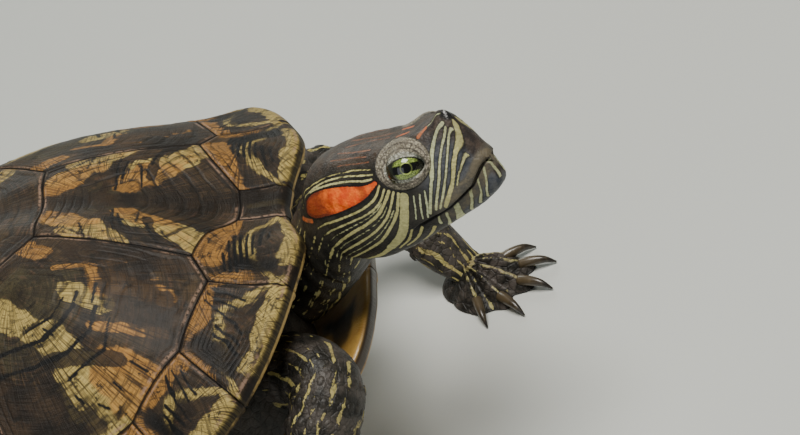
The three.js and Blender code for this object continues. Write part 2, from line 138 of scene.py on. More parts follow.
def build(name, points, quads, triangles=(), fields=None, smooth=True):
    """Object from points in millimetres, faces and one value or vector per point for each named field."""
    mesh = bpy.data.meshes.new(name)
    quads = np.asarray(quads, np.int32).reshape(-1, 4)
    triangles = np.asarray(triangles, np.int32).reshape(-1, 3)
    corners = np.concatenate([quads.ravel(), triangles.ravel()])
    sizes = np.concatenate([np.full(len(quads), 4), np.full(len(triangles), 3)])
    mesh.vertices.add(len(points))
    mesh.vertices.foreach_set("co", (points * MM).astype(np.float32).ravel())
    mesh.loops.add(len(corners))
    mesh.loops.foreach_set("vertex_index", corners)
    mesh.polygons.add(len(sizes))
    mesh.polygons.foreach_set("loop_start", np.concatenate([[0], np.cumsum(sizes)[:-1]]).astype(np.int32))
    mesh.polygons.foreach_set("use_smooth", np.full(len(sizes), smooth))
    mesh.update(calc_edges=True)
    for field, values in (fields or {}).items():
        kind, key = ("FLOAT_VECTOR", "vector") if np.ndim(values) == 2 else ("FLOAT", "value")
        layer = mesh.attributes.new(field, kind, "POINT")
        layer.data.foreach_set(key, np.asarray(values, np.float32).ravel())
    turned = bmesh.new()
    turned.from_mesh(mesh)
    bmesh.ops.recalc_face_normals(turned, faces=turned.faces)
    turned.to_mesh(mesh)
    turned.free()
    piece = bpy.data.objects.new(name, mesh)
    bpy.context.scene.collection.objects.link(piece)
    return piece


def ring_quads(index):
    """Quads between neighbouring rows of an index grid whose columns close on themselves."""
    across = np.roll(index, -1, axis=1)
    return np.stack([index[:-1], across[:-1], across[1:], index[1:]], axis=-1).reshape(-1, 4)


def fan_triangles(ring, middle):
    """Triangles from a closed ring of indices to one middle point."""
    return np.stack([ring, np.roll(ring, -1), np.full(len(ring), middle)], axis=-1)


def tube_piece(name, rings, fields=None):
    """Closed surface through rings of points, ended by a fan at each end."""
    rows, columns = rings.shape[:2]
    index = np.arange(rows * columns).reshape(rows, columns)
    ends = np.stack([rings[0].mean(axis=0), rings[-1].mean(axis=0)])
    points = np.concatenate([rings.reshape(-1, 3), ends])
    last = rows * columns
    triangles = np.concatenate([fan_triangles(index[0], last), fan_triangles(index[-1], last + 1)])
    values = {}
    for field, grid in (fields or {}).items():
        flat = grid.reshape((last,) + grid.shape[2:])
        values[field] = np.concatenate([flat, grid[0].mean(axis=0)[None], grid[-1].mean(axis=0)[None]])
    return build(name, points, ring_quads(index), triangles, values)


def settle(piece, material, slot, *nodes):
    """Gives a piece its material and says what it rides on and what it replaces. The slot is not used."""
    piece.data.materials.append(material)
    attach(piece, "root")
    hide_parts(*nodes)


# ------------------------------------------------------------------ materials

class Wire:
    """An output socket; sums, products and powers of it add Math nodes."""

    def __init__(self, finish, socket):
        self.finish = finish
        self.socket = socket

    def math(self, operation, *others):
        return self.finish.node("ShaderNodeMath", {"operation": operation}, dict(enumerate((self, *others))))

    def flipped(self, operation, other):
        return self.finish.node("ShaderNodeMath", {"operation": operation}, {0: other, 1: self})

    def __add__(self, other):
        return self.math("ADD", other)

    def __sub__(self, other):
        return self.math("SUBTRACT", other)

    def __rsub__(self, other):
        return self.flipped("SUBTRACT", other)

    def __mul__(self, other):
        return self.math("MULTIPLY", other)

    def __pow__(self, other):
        return self.math("POWER", other)

    def __abs__(self):
        return self.math("ABSOLUTE")

    __radd__ = __add__
    __rmul__ = __mul__

    def step(self, start, end):
        """Smooth rise from 0 to 1 between start and end; falls if start is the greater."""
        settings = {"interpolation_type": "SMOOTHSTEP"}
        if not isinstance(start, Wire) and not isinstance(end, Wire) and start > end:
            return 1 - self.finish.node("ShaderNodeMapRange", settings, {0: self, 1: end, 2: start})
        return self.finish.node("ShaderNodeMapRange", settings, {0: self, 1: start, 2: end})

    def clamped(self):
        return self.finish.node("ShaderNodeClamp", {}, {0: self})


class Finish:
    """A material under construction, around its Principled shader."""

    def __init__(self, name):
        self.material = bpy.data.materials.new(name)
        self.material.use_nodes = True
        self.tree = self.material.node_tree
        self.shader = self.tree.nodes["Principled BSDF"]

    def node(self, kind, settings, inputs, output=0):
        """Adds one node: settings are its attributes, inputs are wires or constants by socket."""
        made = self.tree.nodes.new(kind)
        for key, value in settings.items():
            setattr(made, key, value)
        for key, value in inputs.items():
            if isinstance(value, Wire):
                self.tree.links.new(value.socket, made.inputs[key])
            else:
                made.inputs[key].default_value = value
        return Wire(self, made.outputs[output])

    def attribute(self, name, output="Fac"):
        return self.node("ShaderNodeAttribute", {"attribute_name": name}, {}, output)

    def place(self):
        return self.node("ShaderNodeTexCoord", {}, {}, "Object")

    def scaled(self, vector, factors):
        return self.node("ShaderNodeVectorMath", {"operation": "MULTIPLY"}, {0: vector, 1: factors})

    def noise(self, vector, scale, detail, roughness):
        inputs = {"Vector": vector, "Scale": scale, "Detail": detail, "Roughness": roughness}
        return self.node("ShaderNodeTexNoise", {}, inputs, "Fac")

    def cells(self, vector, scale, feature="F1"):
        inputs = {"Vector": vector, "Scale": scale}
        return self.node("ShaderNodeTexVoronoi", {"feature": feature}, inputs, "Distance")

    def mix(self, share, first, second):
        """Colour that goes from first to second as share goes from 0 to 1."""
        first, second = ((*tint, 1) if isinstance(tint, tuple) else tint for tint in (first, second))
        return self.node("ShaderNodeMix", {"data_type": "RGBA"}, {0: share, 6: first, 7: second}, 2)

    def bump(self, height, distance, strength):
        return self.node("ShaderNodeBump", {}, {"Height": height, "Distance": distance, "Strength": strength})

    def set(self, **values):
        """Sets or links the shader's sockets; a name's underscores stand for spaces."""
        for key, value in values.items():
            socket = self.shader.inputs[key.replace("_", " ")]
            if isinstance(value, Wire):
                self.tree.links.new(value.socket, socket)
            else:
                socket.default_value = value
        return self


# ------------------------------------------------------------------ shell surfaces, in the shell's own frame

# Rim points where marginal plates meet: nuchal and first marginal, then on to the rear midline.
RIM = [
    (94.5, 6.5), (95, 33), (78.5, 58), (60, 67.5), (38, 73), (16, 75.5), (-6, 77), (-28, 77.5), (-50, 72.5),
    (-70, 60), (-86, 41), (-96, 18), (-97, 0),
]
NUCHAL_NOTCH = (93.5, 0)
# Inner border of the marginal plates at the same seams.
BORDER = [
    (84, 6), (79, 29.5), (70, 46), (55, 57), (36, 63), (14, 65.5), (-6, 66.5), (-26, 65.5), (-44, 60),
    (-60, 49), (-73, 34), (-81, 16), (-84, 0),
]
SHOULDER = (77, 22.5)
CROSS_SEAMS = [(46, 13), (9, 18), (-29, 18), (-63, 14)]
SIDE_CORNERS = [(28, 27), (-10, 28), (-48, 25)]
COSTAL_RIM = [(25, 64.25), (-16, 66), (-52, 54.5)]
REAR_CORNER = (-75.5, 30)
COSTAL_AREOLA = [(40, 28), (2, 33), (-36, 33), (-66, 34)]
VERTEBRAL_AREOLA = [60, 16, -24, -58, -74]
OUTLINE_POINTS = 1400               # points at which a smoothed outline is worked out


def polar_outline(half):
    """Left half of an outline, mirrored, smoothed as a closed cubic and read as a radius by polar angle."""
    left = np.array(half, float)
    right = left[left[:, 1] > 0][::-1] * [1, -1]
    loop = np.concatenate([left, right])
    closed = np.concatenate([loop[-3:], loop, loop[:4]])
    knots = path_knots(closed)
    at = np.linspace(knots[3], knots[3 + len(loop)], OUTLINE_POINTS, endpoint=False)
    line = spline(at, knots, closed)
    angle = np.arctan2(line[:, 1], line[:, 0])
    order = np.argsort(angle)
    reach = np.hypot(line[:, 0], line[:, 1])[order]
    return lambda at: np.interp(at, angle[order], reach, period=2 * math.pi)


carapace_edge = polar_outline([NUCHAL_NOTCH, RIM[0], (99, 20), *RIM[1:]])


def rim_height(x):
    """High at the nuchal plate, lowest along the bridge."""
    return np.where(x > 0, 26 + 14 * (np.abs(x) / 97) ** 1.7, 26 + 1.5 * (x / 97) ** 2)


def dome(x, y):
    """Height of the carapace: a dome over the outline, flattened towards a flared margin."""
    angle = np.arctan2(y, x)
    edge = carapace_edge(angle)
    t = np.clip(np.hypot(x, y) / edge, 0, 1)
    rim = rim_height(edge * np.cos(angle))
    flare = 7 * (0.35 + 0.65 * np.abs(np.cos(angle))) * np.sin(np.pi * t ** 4)
    return rim + (SHELL_TOP - rim) * (1 - t ** 2.45) ** 0.9 - flare


plastron_edge = polar_outline([
    (99, 0), (98, 14), (93, 27), (80, 37), (62, 43), (47, 46), (41, 54), (36, 64), (18, 68), (-5, 70.5),
    (-28, 72), (-36, 66), (-41, 53), (-50, 47), (-66, 43), (-80, 33), (-88, 17), (-86, 8), (-81, 0),
])


def plastron_bottom(x, y):
    """Flat belly, bridges rising to the rim on both sides and an upturned front lobe."""
    side = np.clip((np.abs(y) - 44) / 28, 0, 1)
    front = np.clip((x - 70) / 29, 0, 1)
    return 24 * side ** 1.4 + 6 * front ** 2


def plastron_top(x, y):
    return np.minimum(plastron_bottom(x, y) + PLATE_THICK, dome(x, y) - PLATE_THICK - 0.5)


# ------------------------------------------------------------------ shell plates

SEAM_INSET = 0.07           # half of the gap between plates at the surface
TOUCH_INSET = 0.02          # the same deeper down, where neighbours all but touch
OUTLINE_INSET = 0.05        # how far the outer plates' edges lie inside the outline


def even_edge(corners, count):
    """Closed outline walked anticlockwise at even steps, which rounds its corners a little."""
    loop = np.array([*corners, corners[0]], float)
    area = np.sum(loop[:-1, 0] * loop[1:, 1] - loop[1:, 0] * loop[:-1, 1])
    if area < 0:
        loop = loop[::-1]
    knots = path_knots(loop)
    at = np.linspace(0, knots[-1], count, endpoint=False)
    return np.stack([np.interp(at, knots, loop[:, axis]) for axis in (0, 1)], axis=1)


def inward(edge):
    """Unit normals of a closed anticlockwise outline, pointing into it."""
    along = unit(np.roll(edge, -1, axis=0) - np.roll(edge, 1, axis=0))
    return np.stack([-along[:, 1], along[:, 0]], axis=1)


def plate_piece(name, corners, areola, top, under, outline, pigment, columns=220, rows=96, groove=1.0):
    """One plate as rings round its growth centre: point = areola + (border - areola) s, with s from 0 to 1
    over the top, a quarter circle over the edge, a wall, and s back to 0 underneath."""
    edge = even_edge(corners, columns)
    normal = inward(edge)
    edge = edge + normal * SEAM_INSET
    away = edge - np.array(areola)
    reach = np.linalg.norm(away, axis=1)
    square_on = np.clip(-np.sum(unit(away) * normal, axis=1), 0.35, 1)
    angle = np.arctan2(edge[:, 1], edge[:, 0])
    on_rim = blend(np.hypot(edge[:, 0], edge[:, 1]) / outline(angle), 0.975, 0.99)
    roll = SEAM_ROLL + (RIM_ROLL - SEAM_ROLL) * on_rim
    last = 1 - roll / square_on / reach
    top_s = np.linspace(0.02, 1, rows)[:, None] ** 0.92 * last
    turn = np.radians([22, 45, 67, 90])[:, None]
    roll_s = 1 - roll * (1 - np.sin(turn)) / square_on / reach
    roll_depth = roll * (1 - np.cos(turn))
    thick = top(edge[:, 0], edge[:, 1]) - under(edge[:, 0], edge[:, 1])
    outward = np.sign(thick.mean())
    thick = np.abs(thick)
    wall = np.array([0.35, 0.7])[:, None]
    wall_depth = roll + (thick - 2 * roll) * wall
    wall_s = 1 + (SEAM_INSET - TOUCH_INSET) * (1 - on_rim) / reach + 0 * wall
    under_s = np.concatenate([roll_s[::-1], top_s[::-4]])
    s = np.concatenate([top_s, roll_s, wall_s, under_s])
    upper = len(top_s) + len(roll_s) + len(wall_s)
    x = areola[0] + away[:, 0] * s
    y = areola[1] + away[:, 1] * s
    depth = np.concatenate([0 * top_s, roll_depth, wall_depth])
    low_depth = np.concatenate([roll_depth[::-1], 0 * top_s[::-4]])
    border = np.maximum(1 - s, 0) * reach * square_on
    spot = np.stack([x, y, 0 * x], axis=-1)
    relief, lines = plate_relief(s, border, spot, groove)
    fade = np.concatenate([np.ones(rows), 1 - np.sin(turn[:, 0]), np.zeros(len(s) - rows - len(turn))])
    relief = relief * fade[:, None]
    z = np.concatenate([top(x[:upper], y[:upper]) - outward * depth,
                        under(x[upper:], y[upper:]) + outward * low_depth]) + outward * relief
    bearing = np.arctan2(away[:, 1], away[:, 0]) + 0 * s
    fields = {
        "border": border, "groove": lines,
        "fan": np.stack([np.cos(bearing) * 9, np.sin(bearing) * 9, s * reach * 0.09], axis=-1),
        "under": np.concatenate([np.zeros(upper), np.ones(len(s) - upper)])[:, None] + 0 * s,
        **pigment(x, y, s),
    }
    points = standing(np.stack([x, y, z], axis=-1))
    points[..., 2] = np.maximum(points[..., 2], 0)
    return tube_piece(name, points, fields)


def plate_relief(s, border, spot, groove):
    """Height in mm of a plate's surface: growth grooves, raised lip inside the seam and a worn, uneven skin.
    Also how deep in a groove each place is, 0 to 1."""
    wander = noise(spot, 9, 5)
    phase = 8.5 * s ** 0.85 + 0.35 * wander
    line = (0.5 + 0.5 * np.cos(2 * np.pi * phase)) ** 5
    depth = 0.45 + 0.55 * blend(noise(spot, 14, 8), -0.5, 0.6)
    grooves = -0.2 * groove * line * blend(s, 0.12, 0.3) * depth
    lip = 0.2 * bell(border, 1.1, 0.7) - 0.24 * np.exp(-(border / 0.4) ** 2)
    return grooves + lip + 0.1 * noise(spot, 5, 11) - 0.12, -5 * grooves / groove


STROKE_SOFT = 0.35          # softness and waver of a stroke's edge, as a share of its half-width


def stroke(x, y, start, end, width, seed):
    """Painted stroke from start to end: 1 inside its width, with a wavering edge."""
    a, b = np.array(start, float), np.array(end, float)
    run = b - a
    along = np.clip(((x - a[0]) * run[0] + (y - a[1]) * run[1]) / (run @ run), 0, 1)
    spot = np.stack([x, y, 0 * x], axis=-1)
    waver = noise(spot, 3.5, seed) * width * STROKE_SOFT
    gap = np.hypot(x - a[0] - along * run[0], y - a[1] - along * run[1])
    return 1 - blend(gap + waver, width * (1 - STROKE_SOFT), width * (1 + STROKE_SOFT))


# Pigment strokes of the first costal plate, by place beside the spine: start, end, half-width.
COSTAL_ORANGE = [
    ((36, 12), (48, 19), 2.2), ((59, 28), (70, 33), 3.2), ((55, 39), (68, 42), 1.2),
    ((57, 50), (67, 58), 5.5), ((50, 24), (64, 24), 0.9),
]
COSTAL_PALE = [
    ((52, 30), (58, 34), 2.4), ((34, 31), (47, 41), 3.4), ((50, 51), (66, 61), 7.5),
    ((30, 60), (50, 60), 3.0),
]
COSTAL_DARK = [
    ((63, 30), (75, 49), 5.5), ((26, 47), (42, 57), 6.5), ((58, 19), (74, 24), 5.0),
    ((44, 44), (58, 46), 1.6),
]
COSTAL_BLACK = [
    ((54, 31), (52.5, 34.5), 0.32), ((52.5, 34.5), (49, 37.5), 0.4), ((49, 37.5), (44, 40), 0.45),
    ((44, 40), (33, 40.5), 0.35), ((57, 35), (54.5, 40), 0.35), ((54.5, 40), (48, 43.3), 0.5),
    ((48, 43.3), (40, 44.5), 0.4), ((40, 44.5), (31, 44.2), 0.3), ((51, 32), (47.5, 36), 0.22),
    ((47.5, 36), (41, 37.6), 0.25), ((59, 38), (56, 44), 0.22), ((56, 44), (46, 48), 0.28),
    ((58, 29.5), (56.5, 34), 0.3), ((45, 38), (46.5, 39.5), 0.3), ((60, 47), (62.5, 49), 0.35),
    ((55, 50), (56, 52), 0.3), ((50, 53), (51.5, 54), 0.3), ((63, 53), (64, 55), 0.25),
    ((46, 51), (47, 52), 0.25),
]


def strokes(x, y, marks, seed):
    """Strongest of a list of strokes."""
    return np.max([stroke(x, y, *mark, seed + i) for i, mark in enumerate(marks)], axis=0)


def costal_pigment(index):
    """Pigments of a costal plate: the first plate's strokes carried to this one's growth centre and size."""
    first, own = np.array(COSTAL_AREOLA[0]), np.array(COSTAL_AREOLA[index])
    stretch = np.array([(1, 1), (0.62, 1.0), (0.62, 1.0), (0.5, 0.62)][index])

    def paint(x, y, s):
        u = first[0] + (x - own[0]) / stretch[0]
        v = first[1] + (np.abs(y) - own[1]) / stretch[1]
        middle_bar = 0 if index == 0 else bell(u + 2 * np.sin(v / 6), first[0] + 8, 6)
        return {
            "orange": np.maximum(strokes(u, v, COSTAL_ORANGE, 20), 0.8 * middle_bar),
            "pale": strokes(u, v, COSTAL_PALE, 40),
            "dark": strokes(u, v, COSTAL_DARK, 60),
            "black": strokes(u, v, COSTAL_BLACK, 80),
            "olive": 1 - blend(s, 0.35, 0.55),
        }
    return paint


# The same of the first vertebral plate.
VERTEBRAL_BARS = [((47, 4), (63, 17), 2.8), ((63, 5), (79, 19), 2.6), ((52, 13), (60, 21), 1.2)]
VERTEBRAL_DARK = [((58, 2), (66, 17), 1.0), ((68, 8), (72, 20), 0.9)]
VERTEBRAL_BLACK = [
    ((61, 4), (63, 14), 0.3), ((62.3, 6), (64.5, 13), 0.25), ((69, 12), (71, 19), 0.3),
    ((66, 5), (67, 11), 0.25), ((72, 15), (74, 20), 0.25), ((56, 11), (57, 16), 0.25),
]


def vertebral_pigment(index):
    """Pigments of a vertebral plate: two slanted bars on each side of a dark keel line."""
    shift = VERTEBRAL_AREOLA[index] - VERTEBRAL_AREOLA[0]

    def paint(x, y, s):
        u, v = x - shift, np.abs(y)
        bars = strokes(u, v, VERTEBRAL_BARS, 7)
        return {
            "orange": bars * blend(v, 1.5, 4) * (0.9 - 0.55 * blend(v, 9, 14)),
            "pale": np.maximum(bars * blend(v, 3, 9) * 0.75, strokes(u, v, [((66, 11), (76, 14), 1.6)], 9)),
            "dark": np.maximum(bell(v, 0, 3.2), strokes(u, v, VERTEBRAL_DARK, 15)),
            "black": 0.75 * strokes(u, v, VERTEBRAL_BLACK, 5),
            "olive": 1 - blend(s, 0.2, 0.45),
        }
    return paint


# Black strokes of the first marginal plate, by place beside the spine.
CORNER_BLACK = [
    ((84.4, 18), (83.8, 27), 0.25), ((85.5, 16.4), (85, 27.4), 0.32), ((86.7, 16), (86.2, 26.6), 0.36),
    ((87.9, 15.4), (87.5, 25), 0.3), ((89.1, 16), (88.8, 22.6), 0.3), ((91, 13), (90.4, 20), 0.4),
    ((92.6, 14), (92.2, 18), 0.3), ((83, 22), (82.6, 27), 0.22),
]
# The same of the other marginal plates, by tenths of the way along and across each.
MARGINAL_BLACK = [
    ((1.2, 1.5), (2.2, 5.0), 0.16), ((2.2, 1.0), (3.4, 4.6), 0.16), ((3.4, 0.8), (4.6, 4.2), 0.13),
    ((5.6, 3.0), (6.2, 6.6), 0.18), ((6.6, 3.4), (7.1, 7.0), 0.2), ((4.6, 4.4), (5.2, 6.8), 0.13),
]


def marginal_pigment(index):
    """Pigments of a marginal plate by share of the way along it, front to rear, and across it, border to rim:
    yellow rim bar, yellow arch, tan streak by the border and dark blotches towards the seams."""
    seams = [(np.array(BORDER[index + k]), np.array(RIM[index + k])) for k in (0, 1)]

    def paint(x, y, s):
        v = np.abs(y)
        gaps = []
        for inner, outer in seams:
            along = unit(outer - inner)
            gaps.append(np.abs((x - inner[0]) * along[1] - (v - inner[1]) * along[0]))
        a = gaps[0] / (gaps[0] + gaps[1] + 1e-6)
        to_rim = carapace_edge(np.arctan2(y, x)) - np.hypot(x, y)
        run = unit(seams[1][0] - seams[0][0])
        to_border = np.abs((x - seams[0][0][0]) * run[1] - (v - seams[0][0][1]) * run[0])
        c = to_border / (to_border + np.maximum(to_rim, 0) + 1e-6)
        spot = np.stack([x, y, 0 * x], axis=-1)
        c = c + 0.06 * noise(spot, 4, 31)
        a = a + 0.05 * noise(spot, 5, 33)
        arch = bell(c, 0.9 - 0.55 * np.sin(np.pi * np.clip(a * 1.05, 0, 1)) ** 0.7, 0.09)
        rim_bar = blend(c, 0.74, 0.84) * blend(a, 0.02, 0.12) * (1 - blend(a, 0.72, 0.86))
        inner_tan = (1 - blend(c, 0.14, 0.24)) * (1 - blend(a, 0.7, 0.85))
        rear_patch = bell(a, 0.97, 0.12) * bell(c, 0.3, 0.3)
        blotch = bell(a, 0.8, 0.11) * blend(c, 0.05, 0.2) * (1 - blend(c, 0.75, 0.9))
        bars = bell(a, 0.42, 0.12) * bell(c, 0.5, 0.16)
        marks = strokes(x, v, CORNER_BLACK, 4) if index == 0 else strokes(a * 10, c * 10, MARGINAL_BLACK, 4)
        return {
            "orange": np.clip(inner_tan + rear_patch, 0, 1) * 0.9,
            "pale": np.clip(rim_bar + 0.9 * arch, 0, 1),
            "dark": np.clip(bars + blotch, 0, 1),
            "black": np.clip(0.8 * blotch - 0.2 + marks, 0, 1),
            "olive": 0 * x,
        }
    return paint


def nuchal_pigment(x, y, s):
    """Dark plate with a yellow streak along its middle."""
    return {"orange": 0 * x, "pale": bell(y, 0, 1.1) * blend(x, 84, 87), "dark": 1 + 0 * x,
            "black": 0 * x, "olive": 0 * x}


def rim_arc(start, end, steps=12):
    """Points along the rim of the carapace from one seam to the next."""
    angles = np.linspace(math.atan2(start[1], start[0]), math.atan2(end[1], end[0]), steps + 1)
    reach = carapace_edge(angles) - OUTLINE_INSET
    return list(zip(reach * np.cos(angles), reach * np.sin(angles)))


def mirrored(corners):
    return [(x, -y) for x, y in corners]


def carapace(material):
    """All 38 plates of the carapace."""
    def under(x, y):
        return dome(x, y) - PLATE_THICK

    def add(node, corners, areola, pigment, **shape):
        piece = plate_piece(f"{node}_plate", corners, areola, dome, under, carapace_edge, pigment, **shape)
        settle(piece, material, "carapace", node)

    def both(half):
        return [*half, *mirrored(half)[::-1]]

    add("nuchal_plate", both([NUCHAL_NOTCH, RIM[0], BORDER[0]]), (89, 0), nuchal_pigment, columns=80, rows=26)
    vertebral = [
        [BORDER[0], SHOULDER, CROSS_SEAMS[0]], [CROSS_SEAMS[0], SIDE_CORNERS[0], CROSS_SEAMS[1]],
        [CROSS_SEAMS[1], SIDE_CORNERS[1], CROSS_SEAMS[2]], [CROSS_SEAMS[2], SIDE_CORNERS[2], CROSS_SEAMS[3]],
        [CROSS_SEAMS[3], REAR_CORNER, BORDER[11], (-84, 0.01)],
    ]
    for i, half in enumerate(vertebral):
        add(f"vertebral_plate_{i + 1}", both(half), (VERTEBRAL_AREOLA[i], 0), vertebral_pigment(i))
    costal = [
        [SHOULDER, *BORDER[1:5], COSTAL_RIM[0], SIDE_CORNERS[0], CROSS_SEAMS[0]],
        [SIDE_CORNERS[0], COSTAL_RIM[0], *BORDER[5:7], COSTAL_RIM[1], SIDE_CORNERS[1], CROSS_SEAMS[1]],
        [SIDE_CORNERS[1], COSTAL_RIM[1], *BORDER[7:9], COSTAL_RIM[2], SIDE_CORNERS[2], CROSS_SEAMS[2]],
        [SIDE_CORNERS[2], COSTAL_RIM[2], *BORDER[9:11], REAR_CORNER, CROSS_SEAMS[3]],
    ]
    for side, flip in (("left", list), ("right", mirrored)):
        for i, corners in enumerate(costal):
            areola = flip([COSTAL_AREOLA[i]])[0]
            add(f"costal_plate_{side}_{i + 1}", flip(corners), areola, costal_pigment(i),
                columns=260, rows=112)
        for i, start in enumerate(RIM[:-1]):
            inner = {0: [BORDER[1], SHOULDER, BORDER[0]], 10: [BORDER[11], REAR_CORNER, BORDER[10]]}
            corners = [*rim_arc(start, RIM[i + 1]), *inner.get(i, [BORDER[i + 1], BORDER[i]])]
            share = np.array([0.3, 0.7])
            middle = 0.5 * (share @ np.array([start, RIM[i + 1]]) + share @ np.array(BORDER[i:i + 2]))
            areola = flip([tuple(middle)])[0]
            add(f"marginal_plate_{side}_{i + 1}", flip(corners), areola, marginal_pigment(i),
                columns=150, rows=46, groove=0.6)


# Places forward of the seams across the plastron, and the names of the plates between them.
PLASTRON_SEAMS = [99, 76, 47, 14, -32, -62, -89]
PLASTRON_NAMES = ["gular", "humeral", "pectoral", "abdominal", "femoral", "anal"]


def plastron(material):
    """Twelve plates of the plastron, each between two cross seams, the midline and the outline."""
    angles = np.linspace(0, math.pi, 721)
    reach = plastron_edge(angles) - OUTLINE_INSET
    outline_x, outline_y = reach * np.cos(angles), reach * np.sin(angles)
    outline = list(zip(outline_x, outline_y))[::6]
    for side, flip in (("left", list), ("right", mirrored)):
        for i, name in enumerate(PLASTRON_NAMES):
            front, rear = PLASTRON_SEAMS[i], PLASTRON_SEAMS[i + 1]
            rim = [(x, y) for x, y in outline if rear + 0.4 < x < front - 0.4 and y > 0.5]
            ends = [float(np.interp(x, outline_x[::-1], outline_y[::-1])) for x in (front, rear)]
            corners = [(min(front, 98.9), 0.0), *([(front, ends[0])] if i else []), *rim,
                       *([(rear, ends[1]), (rear, 0.0)] if i < 5 else [(-81, 0.0)])]
            outer = (rear, ends[1] if i < 5 else 30), (front, max(ends[0], 14))
            middle = np.mean([(front, 0), (rear, 0), *outer], axis=0)
            areola = flip([(float(middle[0]), float(middle[1]) * 1.1)])[0]
            piece = plate_piece(f"{name}_plate_{side}", flip(corners), areola, plastron_bottom, plastron_top,
                                plastron_edge, plastron_pigment, columns=110, rows=40, groove=0.5)
            settle(piece, material, "plastron", "plastron")


def plastron_pigment(x, y, s):
    """Dark smudge in the middle of each plate, paler towards the seams."""
    spot = np.stack([x, y, 0 * x], axis=-1)
    return {"smudge": 1 - blend(s + 0.22 * noise(spot, 9, 71), 0.35, 0.62)}


# ------------------------------------------------------------------ head and neck

HEAD_SCALE = 1.112                  # the head's own units to millimetres
HEAD_PLACE = np.array([99.5, -12.7, 81.6])
HEAD_YAW, HEAD_PITCH, HEAD_ROLL = (math.radians(a) for a in (-26.3, -20.0, -9.1))
# Columns: forward, left and up of the head.
HEAD_AXES = np.array(Matrix.Rotation(HEAD_YAW, 3, "Z") @ Matrix.Rotation(HEAD_PITCH, 3, "Y")
                     @ Matrix.Rotation(HEAD_ROLL, 3, "X"))
SKIN_DEPTH = 0.25                   # the skin lies this far inside the solids

# x forward, half-width, top, bottom and height of the widest line, in head units.
HEAD_SECTIONS = np.array([
    (0, 11.2, 10.2, -12.5, -2), (4, 12.3, 10.6, -13.6, -3), (9, 12.9, 10.5, -14.2, -4),
    (15, 12.6, 9.8, -14.2, -4.5), (20, 11.8, 8.8, -13.8, -4), (25, 10.8, 8.1, -13.2, -3),
    (30, 9.4, 7.9, -12.6, -2.5), (34, 7.2, 8.3, -12, -2.5), (36.6, 5.2, 9.2, -11.3, -2.5),
    (38.4, 3.9, 7.9, -10.6, -3), (39.8, 2.8, 2.8, -9.8, -4), (40.8, 1.8, -2.2, -8.8, -5),
])
MOUTH_LINE = ((15, -10), (23.6, -8.6), (31, -8.2), (36.5, -6.8), (39.6, -4.4), (42, -3.4))
EYE_PLACE = np.array([26.5, 6.5, 2.7])
EYE_RADIUS = 4.3
BALL_INSET = 0.08                   # the eyeball is this much smaller than its place in the skin
GAZE = unit(np.array([2.4, 3.4, 1.2]))
PUPIL_AHEAD = 0.12                  # the eye looks this far ahead of the opening's middle, radians
LID_HALF = (3.8, 2.0)               # half-length and half-height of the eye opening
LID_REACH = np.array([6.0, 5.3])    # the same of the lid skin round it
LID_OFFSET = np.array([-0.35, 1.1])  # its middle, ahead of and above the opening's
LID_THICK = 0.22                    # how far the lid margin stands off the eyeball
LID_DOME = 0.7                      # how far the lid skin stands out of the face
SOCKET_DEPTH = 0.9                  # how far the skin lies behind the eyeball inside the opening
LID_TILT = math.radians(-7)
NOSTRIL = np.array([39.0, 1.9, 5.4])
EARDRUM = np.array([7.5, 12.6, -1.5])

# Neck rings: centre, half-width, top, bottom, widest line; the last meets the back of the head.
NECK = np.array([
    (40, 0, 47, 12.2, 11.6, -11.6, 0), (62, -1, 52.5, 13.4, 12, -12, 0), (80, -5, 59.2, 12.9, 11.4, -11.8, 0),
    (91, -8.8, 69.6, 12.4, 11.4, -13.2, -1),
    (*HEAD_PLACE, *(HEAD_SECTIONS[0, 1:] * HEAD_SCALE)),
])


def head_to_part(points):
    """From head units to the frame of the part."""
    return placed(HEAD_PLACE + (points * HEAD_SCALE) @ HEAD_AXES.T)


def eye_axes(side):
    """Rows: forward, up and outward of the eye on one side, in the head's frame."""
    out = GAZE * [1, side, 1]
    ahead = unit(np.array([1.0, 0, 0]) - out * out[0])
    above = np.cross(out, ahead) * -side
    c, s = math.cos(LID_TILT), math.sin(LID_TILT)
    return np.array([ahead * c + above * s, above * c - ahead * s, out])


def head_rows():
    """Distances along the widest line from the back of the head: coarse on the neck, fine over the face."""
    knots = path_knots(HEAD_SECTIONS[:, :2]) * HEAD_SCALE
    neck_length = path_knots(NECK[:, :3])[-1]
    neck = np.linspace(-neck_length, -5, 58, endpoint=False)
    nape = np.linspace(-5, 8, 22, endpoint=False)
    face = np.linspace(8, knots[-1], 156)
    return knots, np.concatenate([neck, nape, face])


def head_columns(count):
    """Angles from the crown round the left side, closer together over the eyes and mouth."""
    share = np.linspace(0, 1, count // 2 + 1)
    dense = 1 + 0.9 * bell(share, 0.38, 0.1) + 0.5 * bell(share, 0.66, 0.1)
    half = np.concatenate([[0], np.cumsum(0.5 * (dense[1:] + dense[:-1]))])
    angle = np.interp(np.linspace(0, half[-1], count // 2 + 1), half, share * math.pi)
    return np.concatenate([angle, 2 * math.pi - angle[-2:0:-1]])


def rings_from(sections, angle, power_y, power_z, peak=0.0):
    """Local y and z of rings: y = w sin^p, z = widest + (top or bottom part) cos^q, signs kept. The lower
    half of the head is squarer, and peak makes the upper half more like a roof."""
    w, top, bottom, wide = (sections[:, i:i + 1] for i in range(4))
    s, c = np.sin(angle), np.cos(angle)
    low, high = blend(-c, 0, 0.35), blend(c, 0, 0.35)
    y = w * np.sign(s) * np.abs(s) ** (power_y - (power_y - 0.62) * low * (power_y < 0.99) + peak * high)
    half = np.where(c > 0, top - wide, wide - bottom)
    z = wide + half * np.sign(c) * np.abs(c) ** (power_z + 0.6 * peak * high)
    return y, z


